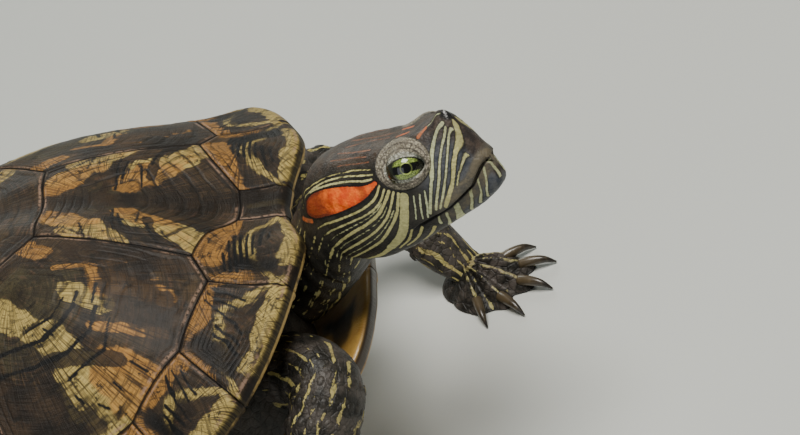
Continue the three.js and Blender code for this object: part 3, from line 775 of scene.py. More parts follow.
def grid_normals(points):
    """Unit normals of a grid whose columns close on themselves."""
    along = np.gradient(points, axis=0)
    across = np.roll(points, -1, axis=1) - np.roll(points, 1, axis=1)
    return unit(np.cross(along, across))


def head_and_neck(columns=288):
    """Grid of the head and neck: rings carried along the neck's path, then along the head's axis, with the
    face's relief added along the normals. Returns points in the part's frame and fields."""
    knots, rows = head_rows()
    angle = head_columns(columns)[None, :]
    neck = rows < 0
    values = spline(rows[~neck], knots, HEAD_SECTIONS)
    hx = values[:, :1] + 0 * angle
    hy, hz = rings_from(values[:, 1:], angle, 0.85, 0.9, 0.55 * blend(values[:, :1], 31, 38))
    local = np.stack([hx, hy, hz], axis=-1)
    plain = local
    normals = grid_normals(local)
    local = local + face_relief(local, normals)
    local = local - normals * SKIN_DEPTH
    tip = local[-1]
    middle = tip.mean(axis=0)
    shrink = np.array([0.93, 0.8, 0.6, 0.35])[:, None, None]
    cap = middle + (tip - middle) * shrink + np.array([0.35, 0, 0]) * np.sqrt(1 - shrink ** 2)
    head = HEAD_PLACE + (np.concatenate([local, cap]) * HEAD_SCALE) @ HEAD_AXES.T

    neck_knots = path_knots(NECK[:, :3])
    at = rows[neck] + neck_knots[-1]
    stations = spline(at, neck_knots, NECK)
    turn = blend(at, neck_knots[1], neck_knots[-1])[:, None]
    forward = unit((1 - turn) * np.array([0.97, -0.1, 0.22]) + turn * HEAD_AXES[:, 0])
    up = (1 - turn) * np.array([0, 0, 1.0]) + turn * HEAD_AXES[:, 2]
    left = unit(np.cross(up, forward))
    up = np.cross(forward, left)
    squareness = blend(at, neck_knots[-2], neck_knots[-1])[:, None]
    ny, nz = rings_from(stations[:, 3:], angle, 1 - 0.15 * squareness, 1 - 0.1 * squareness)
    tube = stations[:, None, :3] + ny[..., None] * left[:, None] + nz[..., None] * up[:, None]
    outward = grid_normals(tube)
    depth_in = rows[neck][:, None]
    sag = blend(-depth_in, 2, 12)
    folds = neck_folds(depth_in, angle, tube) * sag
    unmoved = np.concatenate([tube, plain * HEAD_SCALE, cap * HEAD_SCALE])
    tube = tube + outward * (folds - SKIN_DEPTH)[..., None]

    points = np.concatenate([tube, head])
    rows_all = np.concatenate([rows, rows[-1] + np.array([0.4, 0.9, 1.5, 2.1])])
    around = np.linalg.norm(np.roll(unmoved, -1, axis=1) - unmoved, axis=2)
    from_crown = np.concatenate([np.zeros((len(points), 1)), np.cumsum(around, axis=1)[:, :-1]], axis=1)
    whole = around.sum(axis=1, keepdims=True)
    down = np.minimum(from_crown, whole - from_crown)
    along = rows_all[:, None] + 0 * angle
    head_place = np.concatenate([np.full(tube.shape, -99.0), local, cap])
    return placed(points), head_fields(along, down, head_place)


def neck_folds(along, angle, points):
    """Creases round the neck: cosine folds whose spacing and strength wander, deepest on the throat."""
    wander = noise(points, 14, 21)
    crease = (0.5 + 0.5 * np.cos(2 * np.pi * (along / 5.2 + 0.45 * wander + 0.5 * np.cos(angle)))) ** 4
    slack = 0.35 + 0.4 * (1 - np.cos(angle)) / 2 + 0.5 * blend(-along, 30, 50)
    return -crease * slack + 0.25 * noise(points, 7, 25)


def face_relief(p, normals):
    """Offsets in head units that carve eyelids, mouth, nostrils and eardrums into the plain head."""
    x, y, z = p[..., 0], p[..., 1], p[..., 2]
    side = np.where(y >= 0, 1.0, -1.0)
    mouth = np.interp(x, *zip(*MOUTH_LINE))
    gap = z - mouth
    open_part = blend(x, 20.5, 24.5)
    groove = (-0.85 * bell(gap, 0, 0.3) * open_part
              - 0.25 * bell(gap, -0.2, 0.8) * blend(x, 15, 21) * (1 - open_part))
    beak = 0.38 * blend(gap, 0.1, 0.5) * (1 - blend(gap, 0.9, 3.2)) * blend(x, 25, 31)
    chin = -0.3 * blend(gap, -0.1, -0.5) * (1 - blend(gap, -1.5, -4.5)) * blend(x, 25, 31)
    chin = chin + 0.25 * bell(gap, -5.2, 1.6) * blend(x, 28, 36)
    mirror = np.stack([np.ones_like(side), side, np.ones_like(side)], axis=-1)
    nostril = -0.9 * bell(np.linalg.norm(p - NOSTRIL * mirror, axis=-1), 0, 0.5)
    drum = np.linalg.norm(p - EARDRUM * mirror, axis=-1)
    ear = -0.22 * bell(drum, 4.3, 0.8) - 0.1 * (1 - blend(drum, 2, 4.3))
    brow = 1.25 * bell(x, 28.5, 4.2) * bell(z, 7.8, 1.8) * bell(np.abs(y), 4.8, 1.9)
    skin = 0.1 * noise(p, 5.0, 41) * blend(25 - x, 0, 6) + 0.05 * noise(p, 1.6, 44)
    offset = normals * (groove + beak + chin + nostril + ear + brow + skin)[..., None]
    return offset + lids(p, y >= 0, 1) + lids(p, y < 0, -1)


def eye_place(p, side):
    """Forward, up and outward places of points against one eye, and how far out they lie: 0 at its middle,
    1 at the lid margin, 2 at the outer edge of the lid skin."""
    q = (p - EYE_PLACE * [1, side, 1]) @ eye_axes(side).T
    ahead, above = q[..., 0], q[..., 1]
    out = np.hypot(ahead, above)
    opening = out / np.maximum(np.hypot(ahead / LID_HALF[0], above / LID_HALF[1]), 1e-6)
    heading = np.stack([ahead, above], axis=-1) / np.maximum(out, 1e-6)[..., None] / LID_REACH
    middle = LID_OFFSET / LID_REACH
    length = np.maximum(np.sum(heading ** 2, axis=-1), 1e-9)
    towards = heading @ middle
    outer = (towards + np.sqrt(np.maximum(towards ** 2 - length * (middle @ middle - 1), 0))) / length
    share = np.where(out < opening, out / opening, 1 + (out - opening) / (outer - opening))
    return ahead, above, q[..., 2], share


def lids(p, here, side):
    """Moves the skin round an eye along the gaze: behind the eyeball inside the opening, just over it at the
    lid margin, then out over a low dome of lid skin that ends in a crease."""
    ahead, above, out, share = eye_place(p, side)
    ball = np.sqrt(np.maximum(EYE_RADIUS ** 2 - ahead ** 2 - above ** 2, 0.4))
    cushion = out + LID_DOME * np.sqrt(np.clip(1 - (share / 2.02) ** 4, 0, 1))
    rise = blend(share, 1.0, 1.45)
    margin = ball + LID_THICK + 0.12 * bell(share, 1.07, 0.05)
    covering = np.where(ahead ** 2 + above ** 2 < EYE_RADIUS ** 2 - 0.4, ball + 0.25, -9)
    raised = np.maximum(margin * (1 - rise) + cushion * rise, covering)
    on_skin = blend(share, 1.06, 1.15) * (1 - blend(share, 1.7, 1.9))
    creases = 0.09 * np.cos(2 * np.pi * (share - 1) / 0.17) * on_skin
    grains = 0.16 * noise(p, 0.8, 51, 2) * blend(share, 1.08, 1.2)
    join = blend(share, 1.9, 2.1)
    lidded = (raised + creases + grains) * (1 - join) + out * join - 0.18 * bell(share, 2.0, 0.08)
    sunk = ball - SOCKET_DEPTH
    target = np.where(share > 1.02, lidded, sunk + (lidded - sunk) * blend(share, 0.95, 1.02))
    near = (1 - blend(share, 2.1, 2.3)) * here * (np.sign(p[..., 1]) == side) * blend(out, -1, 0.5)
    return ((target - out) * near)[..., None] * eye_axes(side)[2]


# ------------------------------------------------------------------ head markings

# Pale stripes on one side of the head and neck as places (millimetres forward of the back of the head along
# the side, millimetres down from the crown), each with its half-width and tone, from yellow (0) to pale
# green (1).
HEAD_STRIPES = [
    ([(28.5, 17.5), (25.7, 22), (23.5, 25), (20, 28.5), (16, 31)], 0.92, 0.45),
    ([(20, 28.5), (16, 31), (12, 32.7), (2, 34)], 0.62, 0.35),
    ([(43.5, 3.3), (41.5, 5), (40, 7), (38.5, 10), (37.5, 12.8), (36.5, 15)], 0.42, 0.9),
    ([(36.5, 15), (33.7, 19.5), (31, 23.5)], 0.28, 0.9),
    ([(44, 4.3), (42.5, 7.2), (41, 9.5), (39.5, 12), (38, 15), (35.5, 19), (32.8, 22.8)], 0.24, 0.8),
    ([(45.3, 3.6), (43.7, 7), (42.2, 10.3), (40.5, 13.3), (38.7, 16), (36.2, 19.8), (33.8, 22.8)], 0.2, 0.8),
    ([(46, 1), (46, 4), (45, 8), (43, 11.8), (41.2, 15), (39.4, 17.4), (37.3, 20), (35, 22.8)], 0.38, 0.4),
    ([(46, 8.5), (44.2, 12.8), (41.8, 16), (40.2, 18)], 0.15, 0.5),
    ([(23.5, 14), (21.5, 16.5), (18, 18.5), (12.5, 19.8), (8, 20), (1, 19.2), (-14, 18), (-60, 18)],
     0.24, 0.3),
    ([(24.5, 15), (22, 17.8), (18.2, 20), (13.5, 21.2), (8, 21.7), (2, 21.5), (-10, 20.5), (-60, 20.5)],
     0.22, 0.4),
    ([(25.5, 15.6), (22.5, 18.6), (20, 20.7), (15.5, 22.8), (9.5, 24.2), (4, 25), (-8, 24.5), (-60, 24.5)],
     0.34, 0.35),
    ([(26.5, 16), (23.5, 19.8), (20.5, 22.6), (16, 25.2), (10.3, 27), (0, 27.8), (-60, 27.5)], 0.26, 0.4),
    ([(27.5, 16.6), (24.5, 21), (20.8, 24.4), (16.5, 27.6), (11, 29.5), (0, 31), (-60, 30.8)], 0.3, 0.4),
    ([(22.2, 18.2), (19, 20.4), (14.5, 22), (8.8, 23), (2, 23.3), (-60, 22.6)], 0.1, 0.7),
    ([(23, 19.2), (20.2, 21.7), (15.8, 24), (9.9, 25.6), (2, 26.4), (-60, 26)], 0.1, 0.7),
    ([(24, 20.4), (20.6, 23.5), (16.2, 26.4), (10.6, 28.3), (0, 29.4), (-60, 29.2)], 0.1, 0.7),
    ([(-14, 31.8), (-28, 32.4), (-60, 32.4)], 0.7, 0.2),
    ([(30.5, 18), (29, 21), (27.2, 24)], 0.15, 1.0), ([(32, 18), (30, 21.6), (28.5, 24.5)], 0.15, 1.0),
    ([(33.5, 17.5), (31.6, 21.5), (29.7, 24.5)], 0.17, 1.0),
    ([(22, 10), (18.5, 9.6), (14, 9.5), (9.5, 9.4), (4.5, 9.6), (-6, 9.5), (-60, 9)], 0.15, 0.2),
    ([(22.5, 11.2), (18.5, 11), (14.5, 10.6), (10, 10.4), (5.5, 10.5), (-4, 11.2), (-60, 11.4)], 0.2, 0.4),
    ([(22, 12.2), (20, 12.4), (16, 12), (12.5, 11.7), (8, 11.4), (2.3, 11)], 0.24, 0.5),
    ([(38.4, 2.6), (41, 1.5), (43.5, 1)], 0.14, 1.0), ([(-2, 2.6), (-60, 2.8)], 0.15, 0.1),
    ([(-2, 5.6), (-60, 5.6)], 0.18, 0.1), ([(-8, 14.6), (-14, 15), (-60, 15.2)], 0.3, 0.1),
    ([(26.5, 27), (24, 29.4), (19, 32.6)], 0.28, 0.3), ([(24.2, 26.8), (21.5, 29.6), (17, 32.6)], 0.24, 0.3),
    ([(28.5, 28.3), (25.5, 31.3), (22.3, 33.4)], 0.35, 0.2),
    ([(30, 33), (20, 36.5), (8, 37.5), (-2, 34), (-60, 34)], 0.35, 0.3),
]
# Pale bars across the side of the lower jaw: places (forward, above the mouth line) in head units, and
# half-width.
JAW_BARS = [
    ([(39.5, -0.5), (38.6, -2.2), (36.6, -3.8)], 0.26), ([(37.6, -0.3), (36.6, -2), (34.8, -3.6)], 0.24),
    ([(35.5, -0.2), (34.4, -2), (32.4, -3.6)], 0.28), ([(32, -0.3), (30.6, -2.4), (28.2, -4.4)], 0.6),
    ([(29.4, -0.5), (28.1, -2.4), (26.5, -3.6)], 0.22), ([(27.8, -0.2), (26.6, -2)], 0.2),
]
# Red patch behind the eye: places along its middle, each with its half-width.
RED_PATCH = [
    (22.6, 13.3, 0.5), (20.5, 14.3, 0.85), (18, 15.1, 1.55), (14, 15.4, 2.4), (9.5, 15.4, 2.95), (5, 14.9, 3),
    (2, 14.4, 2.6), (-0.3, 14, 1.3),
]
# Small dull red or orange marks, given as the stripes are.
RUST_MARKS = [
    ([(-6.5, 12), (-4, 14.2), (-1, 16.6)], 0.45), ([(36.4, 5.1), (37.1, 3.9), (38, 2.8)], 0.45),
    ([(27.5, 1.6), (31, 1.2)], 0.35), ([(12, 1.4), (20, 0.8), (25, 0.9)], 0.22),
    ([(10.5, 3), (17, 4.4), (21, 4.5)], 0.2), ([(9, 5), (16, 6), (20.5, 6.4)], 0.16),
    ([(12, 7.4), (18, 7.9), (21.5, 8)], 0.14),
]


def chain_gap(along, down, places):
    """Distance to a smooth curve through the places, taken as the nearest of its short straight pieces."""
    places = np.array(places, float)
    knots = path_knots(places)
    line = spline(np.linspace(0, knots[-1], 5 * len(places)), knots, places) if len(places) > 2 else places
    best = np.full(along.shape, 99.0)
    for a, b in zip(line[:-1], line[1:]):
        run = b - a
        t = np.clip(((along - a[0]) * run[0] + (down - a[1]) * run[1]) / (run @ run), 0, 1)
        best = np.minimum(best, np.hypot(along - a[0] - t * run[0], down - a[1] - t * run[1]))
    return best


def head_fields(along, down, p):
    """Skin fields of the head and neck, by place on their side; mouth and eyes go by place in head units."""
    stripe = np.full(along.shape, 9.0)
    tone = np.zeros(along.shape)
    for places, half_width, green in HEAD_STRIPES:
        edge = chain_gap(along, down, places) - half_width
        tone = np.where(edge < stripe, green, tone)
        stripe = np.minimum(stripe, edge)
    gap = p[..., 2] - np.interp(p[..., 0], *zip(*MOUTH_LINE))
    jaw = blend(-gap, -0.1, 0.1) * blend(p[..., 0], 25.5, 26) * (1 - blend(-gap, 4.4, 5))
    bars = np.min([chain_gap(p[..., 0], gap, places) - half_width for places, half_width in JAW_BARS]
                  + [np.abs(np.abs(p[..., 1]) - 1.0) - 0.28 + 9 * (p[..., 0] < 39.7)], axis=0)
    tone = np.where((jaw > 0.5) & (bars < 0.6), 0.85, tone)
    stripe = stripe * (1 - jaw) + bars * jaw
    patch = np.array(RED_PATCH)
    knots = path_knots(patch[:, :2])
    line = spline(np.linspace(0, knots[-1], 30), knots, patch)
    red = np.min([np.hypot(along - a, down - b) - w for a, b, w in line], axis=0)
    rust = np.min([chain_gap(along, down, places) - half_width for places, half_width in RUST_MARKS], axis=0)
    horn = blend(p[..., 0], 27, 31) * blend(gap, -2.6, -2.0) * (1 - blend(gap, 2.2, 3.0))
    share = np.minimum(eye_place(p, 1)[3] + 9 * (p[..., 1] < 0), eye_place(p, -1)[3] + 9 * (p[..., 1] >= 0))
    snout = np.linalg.norm((p - [38.8, 0, 8.2]) / [2.0, 3.0, 1.9], axis=-1)
    mouth = np.abs(gap) + 9 * (1 - blend(p[..., 0], 22.5, 24))
    return {
        "stripe": stripe, "tone": tone, "red": red, "rust": rust, "horn": horn, "lid": np.minimum(share, 3),
        "snout": 1 - blend(snout, 0.75, 1.15), "mouth": np.minimum(mouth, 3),
        "crown": 1 - blend(down, 5, 10), "along": along, "scaly": 0 * along,
    }


# ------------------------------------------------------------------ legs, feet, tail and trunk

CREASE_DEPTH = 0.55
# Centre, half-width and half-height along each limb.
TAIL = [
    (-52, 0, 22, 9, 8), (-80, 0, 15, 7.5, 6.5), (-100, 3, 8.4, 5.6, 5.2), (-116, 10, 4.4, 3.6, 3.8),
    (-128, 21, 2, 1.6, 2),
]
LEGS = {
    "foreleg_left": [(44, 27, 47, 9.6, 9.4), (64, 34, 51, 9.4, 9.6), (80, 52, 45, 8.4, 9.4),
                     (93, 56, 26, 7.4, 8.2), (101, 49, 12, 7.6, 6.4), (107, 44.5, 4.8, 6.2, 2.8)],
    "foreleg_right": [(46, -29, 46, 9.6, 9.4), (70, -31, 53, 9.4, 9.8), (82, -40, 52, 9, 9.6),
                      (77, -54, 42, 8.6, 9.6), (82, -65, 22, 7.6, 8.2), (90, -72, 9, 7.6, 5.6),
                      (95.5, -75.5, 4.6, 6.2, 2.8)],
    "hindleg_left": [(-42, 30, 27, 9.6, 8.6), (-56, 45, 23.6, 9.6, 8.4), (-59, 58, 18, 9.4, 8.2),
                     (-56, 74, 17, 9.2, 9), (-66, 82, 11, 8.2, 7.6), (-64, 86, 5, 6.6, 3)],
    "hindleg_right": [(-42, -30, 27, 9.6, 8.6), (-56, -45, 23.6, 9.6, 8.4), (-59, -58, 18, 9.4, 8.2),
                      (-52, -75, 17, 9.2, 9), (-61, -84, 11, 8.2, 7.6), (-59, -88, 5, 6.6, 3)],
}
DIGIT_SPAN = 9.0             # degrees over which a digit stands out of the web
SOLE = 0.12                  # height of the soles above the floor
# Digits: heading in degrees from the foot's own and reach in mm, from the thumb or first toe outwards, and
# how many have claws and of what length.
FORE_DIGITS = {"spread": [-50, -25, 0, 24, 48], "reach": [15.5, 19.5, 21, 19.5, 15], "claws": 5, "claw": 7.0}
HIND_DIGITS = {"spread": [-46, -22, 0, 22, 46], "reach": [18, 23.5, 25.5, 23.5, 17], "claws": 4, "claw": 6.0}
FEET = {
    "forefoot_left": {"place": (106, 44), "heading": -32, "outer": 1, "digits": FORE_DIGITS, "heel": 9,
                      "wrist": (99.5, 50.5, 14)},
    "forefoot_right": {"place": (95, -75), "heading": -30, "outer": -1, "digits": FORE_DIGITS, "heel": 9,
                       "wrist": (85.6, -69, 14.5)},
    "hindfoot_left": {"place": (-62, 87), "heading": 34, "outer": 1, "digits": HIND_DIGITS, "heel": 10,
                      "wrist": (-65, 82.4, 11)},
    "hindfoot_right": {"place": (-57, -89), "heading": -38, "outer": -1, "digits": HIND_DIGITS, "heel": 10,
                       "wrist": (-60.4, -84.6, 11)},
}
# Shares of the way out from a foot's middle to its edge at which its rings lie.
FOOT_SHARES = [0.12, 0.24, 0.36, 0.46, 0.55, 0.63, 0.7, 0.76, 0.82, 0.87, 0.91, 0.945, 0.97, 0.988, 1]
SKIN_FIELDS = ("stripe", "tone", "red", "rust", "horn", "lid", "snout", "mouth", "crown", "along", "scaly")


def plain_fields(shape, **given):
    """Skin fields at their resting values, apart from those given."""
    rest = {"stripe": 9.0, "red": 9.0, "rust": 9.0, "lid": 3.0, "mouth": 3.0}
    return {name: given[name] + np.zeros(shape) if name in given else np.full(shape, rest.get(name, 0.0))
            for name in SKIN_FIELDS}


def limb_rings(stations, rows, columns, shrink=SKIN_DEPTH):
    """Elliptical rings along a smooth path: centre + side w cos a + over h sin a. Also the distance along,
    the angles and the half-widths."""
    stations = np.array(stations, float)
    steps = np.linalg.norm(np.diff(stations[:, :3], axis=0), axis=1)
    knots = np.concatenate([[0], np.cumsum(np.sqrt(steps))])
    index = np.linspace(0, len(stations) - 1, rows)
    at = np.interp(index, np.arange(len(stations)), knots)
    values = spline(at, knots, stations)
    centre = values[:, :3]
    ahead = unit(np.gradient(centre, axis=0))
    side = unit(np.cross([0, 0, 1.0], ahead))
    over = np.cross(ahead, side)
    angle = np.linspace(0, 2 * math.pi, columns, endpoint=False)
    rings = (centre[:, None] + side[:, None] * ((values[:, 3:4] - shrink) * np.cos(angle))[..., None]
             + over[:, None] * ((values[:, 4:5] - shrink) * np.sin(angle))[..., None])
    return rings, path_knots(centre)[:, None] + 0 * angle, angle, values[:, 3:4]


def limb(stations, seed, rows=84, columns=72, count=14):
    """Closed surface of a leg or tail with creases across it, and its fields: wandering stripes along it."""
    rings, along, angle, girth = limb_rings(stations, rows, columns)
    outward = grid_normals(rings)
    outward = outward * np.sign(np.sum(outward * (rings - rings.mean(axis=1, keepdims=True))))
    wander = noise(rings, 11, seed)
    folds = (0.5 + 0.5 * np.cos(2 * np.pi * (along / 4.6 + 0.6 * wander + 0.3 * np.sin(angle)))) ** 3
    lumps = noise(rings, 3.2, seed + 3, 2)
    relief = -CREASE_DEPTH * folds * (0.5 + 0.5 * blend(wander, -0.3, 0.5)) + 0.16 * lumps - 0.1
    rings = rings + outward * relief[..., None]
    rings[..., 2] = np.maximum(rings[..., 2], SOLE)
    phase = count * angle / (2 * math.pi) + 0.9 * noise(rings, 15, seed + 7, 3)
    gap = np.abs(phase - np.round(phase)) * 2 * math.pi * girth / count
    broad = 0.7 * blend(np.cos(np.pi * np.round(phase)), -0.5, 0.5)
    stripe = gap - 0.22 - 0.4 * broad - 0.4 * noise(rings, 7, seed + 9, 2)
    return rings, plain_fields(along.shape, stripe=stripe, tone=0.1, scaly=0.6), outward


def foot_radius(angle, digits, outer, heel):
    """Reach of a webbed foot by heading: web between the digits, and each digit a ridge out to its reach."""
    reach, spread = digits["reach"], digits["spread"]
    bend = np.abs(angle) / math.pi
    web = heel + (0.74 * max(reach) - heel) * np.clip(1.75 - 3.1 * bend, 0, 1)
    ridges = [(r - web) * bell(np.degrees(angle) - a * outer, 0, DIGIT_SPAN) for r, a in zip(reach, spread)]
    return web + np.maximum(np.max(ridges, axis=0), 0)


def turned_flat(points, degrees):
    """Points turned about the vertical through the origin."""
    c, s = math.cos(math.radians(degrees)), math.sin(math.radians(degrees))
    return np.stack([points[..., 0] * c - points[..., 1] * s, points[..., 0] * s + points[..., 1] * c,
                     points[..., 2]], axis=-1)


def foot(shape, columns=132):
    """Closed surface of a webbed foot: a low dome over the fan, raised along each digit with knuckles."""
    outer, digits = shape["outer"], shape["digits"]
    angle = np.linspace(-math.pi, math.pi, columns, endpoint=False)[None, :]
    edge = foot_radius(angle, digits, outer, shape["heel"]) - SKIN_DEPTH
    share = np.array(FOOT_SHARES)[:, None]
    x, y = edge * share * np.cos(angle), edge * share * np.sin(angle)
    turn = np.degrees(angle)
    on_digit = np.max([bell(turn - a * outer, 0, 7.5) for a in digits["spread"]], axis=0)
    knuckle = 0.5 + 0.5 * np.cos(2 * np.pi * (edge * share / 5.2))
    top = (1.5 + 6.1 * (1 - share ** 1.6) ** 1.2 + (1.7 + 0.35 * knuckle) * on_digit
           * np.sin(np.pi * np.minimum(1, share * 1.02)) ** 0.8)
    web_dip = -0.5 * (1 - on_digit) * blend(share, 0.5, 0.75) * (np.abs(turn) < 62)
    spot = np.stack([x, y, top], axis=-1)
    rounded = 0.35 + 0.65 * np.sqrt(np.clip(1 - share ** 14, 0, 1))
    top = (top + web_dip + 0.12 * noise(spot, 2.4, 91, 2)) * rounded
    low = SOLE + 0.5 * (share > 0.98)
    gaps = [np.abs(np.radians(turn - a * outer)) * edge * share for a in digits["spread"]]
    between = [0.5 * (a + b) for a, b in zip(digits["spread"][:-1], digits["spread"][1:])]
    thin = [np.abs(np.radians(turn - a * outer)) * edge * share + 0.25 for a in between]
    stripe = np.minimum(np.min(gaps, axis=0), np.min(thin, axis=0)) - 0.5 + 0.3 * noise(spot, 5, 93, 2)
    upper = np.stack([x, y, top], axis=-1)
    lower = np.stack([x[::2], y[::2], low[::2] + 0 * x[::2]], axis=-1)
    rings = np.concatenate([lower, upper[::-1]])
    spun = turned_flat(rings, shape["heading"]) + [*shape["place"], 0]
    under = np.concatenate([np.ones(len(lower)), np.zeros(len(upper))])[:, None]
    stripes = np.concatenate([stripe[::2], stripe[::-1]])
    return spun, plain_fields(spun.shape[:2], stripe=stripes + 2.0 * under, tone=0.5, scaly=1.0)


def trunk_rings(columns=90):
    """Closed surface of the trunk, between the plastron and the carapace."""
    angle = np.linspace(-math.pi, math.pi, columns, endpoint=False)[None, :]
    share = np.linspace(0.08, 1, 14)[:, None]
    reach = carapace_edge(angle) * 0.84
    x, y = reach * share * np.cos(angle), reach * share * np.sin(angle)
    top = dome(x, y) - PLATE_THICK - 2.8 - SKIN_DEPTH
    low = np.minimum(plastron_top(x, y) + 3.9 + SKIN_DEPTH, top - 1.5)
    rings = np.concatenate([np.stack([x, y, low], axis=-1), np.stack([x, y, top], axis=-1)[::-1]])
    return standing(rings), plain_fields(rings.shape[:2], stripe=9.0, scaly=0.5)


WRIST_SOFT = (8, 14)         # smoothing fades out between these distances from a wrist or ankle
WRIST_ROUNDS = 18            # how many times it is smoothed


def merged_skin(parts, wrists):
    """One closed skin from closed parts: their union, smoothed round each wrist and ankle, its fields taken
    from the nearest point of the parts."""
    skin, *others = [tube_piece(f"part_{i}", rings) for i, (rings, _) in enumerate(parts)]
    for other in others:
        union = skin.modifiers.new("union", "BOOLEAN")
        union.operation = "UNION"
        union.solver = "MANIFOLD"
        union.object = other
        bpy.context.view_layer.update()
        evaluated = skin.evaluated_get(bpy.context.evaluated_depsgraph_get())
        joined = bpy.data.meshes.new_from_object(evaluated)
        skin.modifiers.clear()
        skin.data = joined
        bpy.data.objects.remove(other)
    mesh = skin.data
    points = np.empty(len(mesh.vertices) * 3)
    mesh.vertices.foreach_get("co", points)
    points = points.reshape(-1, 3) / MM
    edges = np.empty(len(mesh.edges) * 2, np.int32)
    mesh.edges.foreach_get("vertices", edges)
    edges = edges.reshape(-1, 2)
    sources = np.concatenate([rings.reshape(-1, 3) for rings, _ in parts])
    nearest = nearest_index(sources, points)
    reach = np.min([np.linalg.norm(points - placed(np.array(w)), axis=1) for w in wrists], axis=0)
    soft = (1 - blend(reach, *WRIST_SOFT))[:, None] * 0.7
    for _ in range(WRIST_ROUNDS):
        total = np.zeros_like(points)
        count = np.zeros((len(points), 1))
        for a, b in ((0, 1), (1, 0)):
            np.add.at(total, edges[:, a], points[edges[:, b]])
            np.add.at(count, edges[:, a], 1)
        points = points + soft * (total / np.maximum(count, 1) - points)
    mesh.vertices.foreach_set("co", (points * MM).ravel())
    for name in SKIN_FIELDS:
        values = np.concatenate([fields[name].ravel() for _, fields in parts])[nearest]
        mesh.attributes.new(name, "FLOAT", "POINT").data.foreach_set("value", values.astype(np.float32))
    mesh.polygons.foreach_set("use_smooth", np.ones(len(mesh.polygons), bool))
    mesh.materials.clear()
    mesh.update()
    skin.name = mesh.name = "skin"
    return skin


def nearest_index(sources, points):
    """Index of the source point closest to each point."""
    tree = KDTree(len(sources))
    for i, place in enumerate(sources):
        tree.insert(place, i)
    tree.balance()
    return np.array([tree.find(p)[1] for p in points])


# ------------------------------------------------------------------ eyes, claws and scales

CLAW_ROOT = 1.2              # how far a claw starts behind the end of its digit
SCALE_LENGTH, SCALE_WIDTH, SCALE_LIFT = 3.0, 2.4, 0.32
SCALE_STEP = 3               # grid steps of a limb's surface from one scale to the next
SCALE_ROWS = {"tail": (22, 57), "foreleg": (30, 66), "hindleg": (38, 68)}


def eyeball(side, material):
    """Sphere as rings round the gaze: point = centre + r (out cos a + (ahead cos b + above sin b) sin a)."""
    tilt = np.concatenate([np.linspace(0.02, 1.0, 34), np.linspace(1.06, math.pi - 0.05, 24)])[:, None]
    bearing = np.linspace(0, 2 * math.pi, 72, endpoint=False)[None, :]
    gaze = np.stack([np.sin(tilt) * np.cos(bearing), np.sin(tilt) * np.sin(bearing),
                     np.cos(tilt) + 0 * bearing], axis=-1)
    cornea = 1 + 0.03 * (1 - blend(tilt, 0.3, 0.75))
    turned = np.array(Matrix.Rotation(PUPIL_AHEAD, 3, "Y"))
    ball = gaze @ turned.T * cornea[..., None] * (EYE_RADIUS - BALL_INSET)
    local = EYE_PLACE * [1, side, 1] + ball @ eye_axes(side)
    name = "left" if side > 0 else "right"
    settle(tube_piece(f"eyeball_{name}", head_to_part(local), {"gaze": gaze}), material, "eye", f"eye_{name}")


def claws(name, shape, material):
    """Curved, tapering claws of one foot, joined in one mesh."""
    digits = shape["digits"]
    length = digits["claw"]
    sets = []
    for spread, reach in list(zip(digits["spread"], digits["reach"]))[:digits["claws"]]:
        stations = [(-3, 0, 2.9, 1.5, 1.5), (0, 0, 3, 1.4, 1.5), (length * 0.55, 0, 2.5, 1, 1.1),
                    (length, 0, 0.6, 0.25, 0.3)]
        rings, along, _, _ = limb_rings(stations, 18, 14, 0.02)
        spun = turned_flat(rings + [reach - CLAW_ROOT, 0, 0], spread * shape["outer"])
        sets.append((placed(turned_flat(spun, shape["heading"]) + [*shape["place"], 0]), along / along.max()))
    points, quads, triangles, values, start = [], [], [], [], 0
    for rings, along in sets:
        rows, columns = rings.shape[:2]
        index = start + np.arange(rows * columns).reshape(rows, columns)
        points += [rings.reshape(-1, 3), rings[0].mean(axis=0)[None], rings[-1].mean(axis=0)[None]]
        quads.append(ring_quads(index))
        triangles += [fan_triangles(index[0], start + rows * columns),
                      fan_triangles(index[-1], start + rows * columns + 1)]
        values += [along.ravel(), [0.0, 1.0]]
        start += rows * columns + 2
    piece = build(f"claws_{name}", np.concatenate(points), np.concatenate(quads), np.concatenate(triangles),
                  {"tip": np.concatenate(values)})
    settle(piece, material, "claw", name)


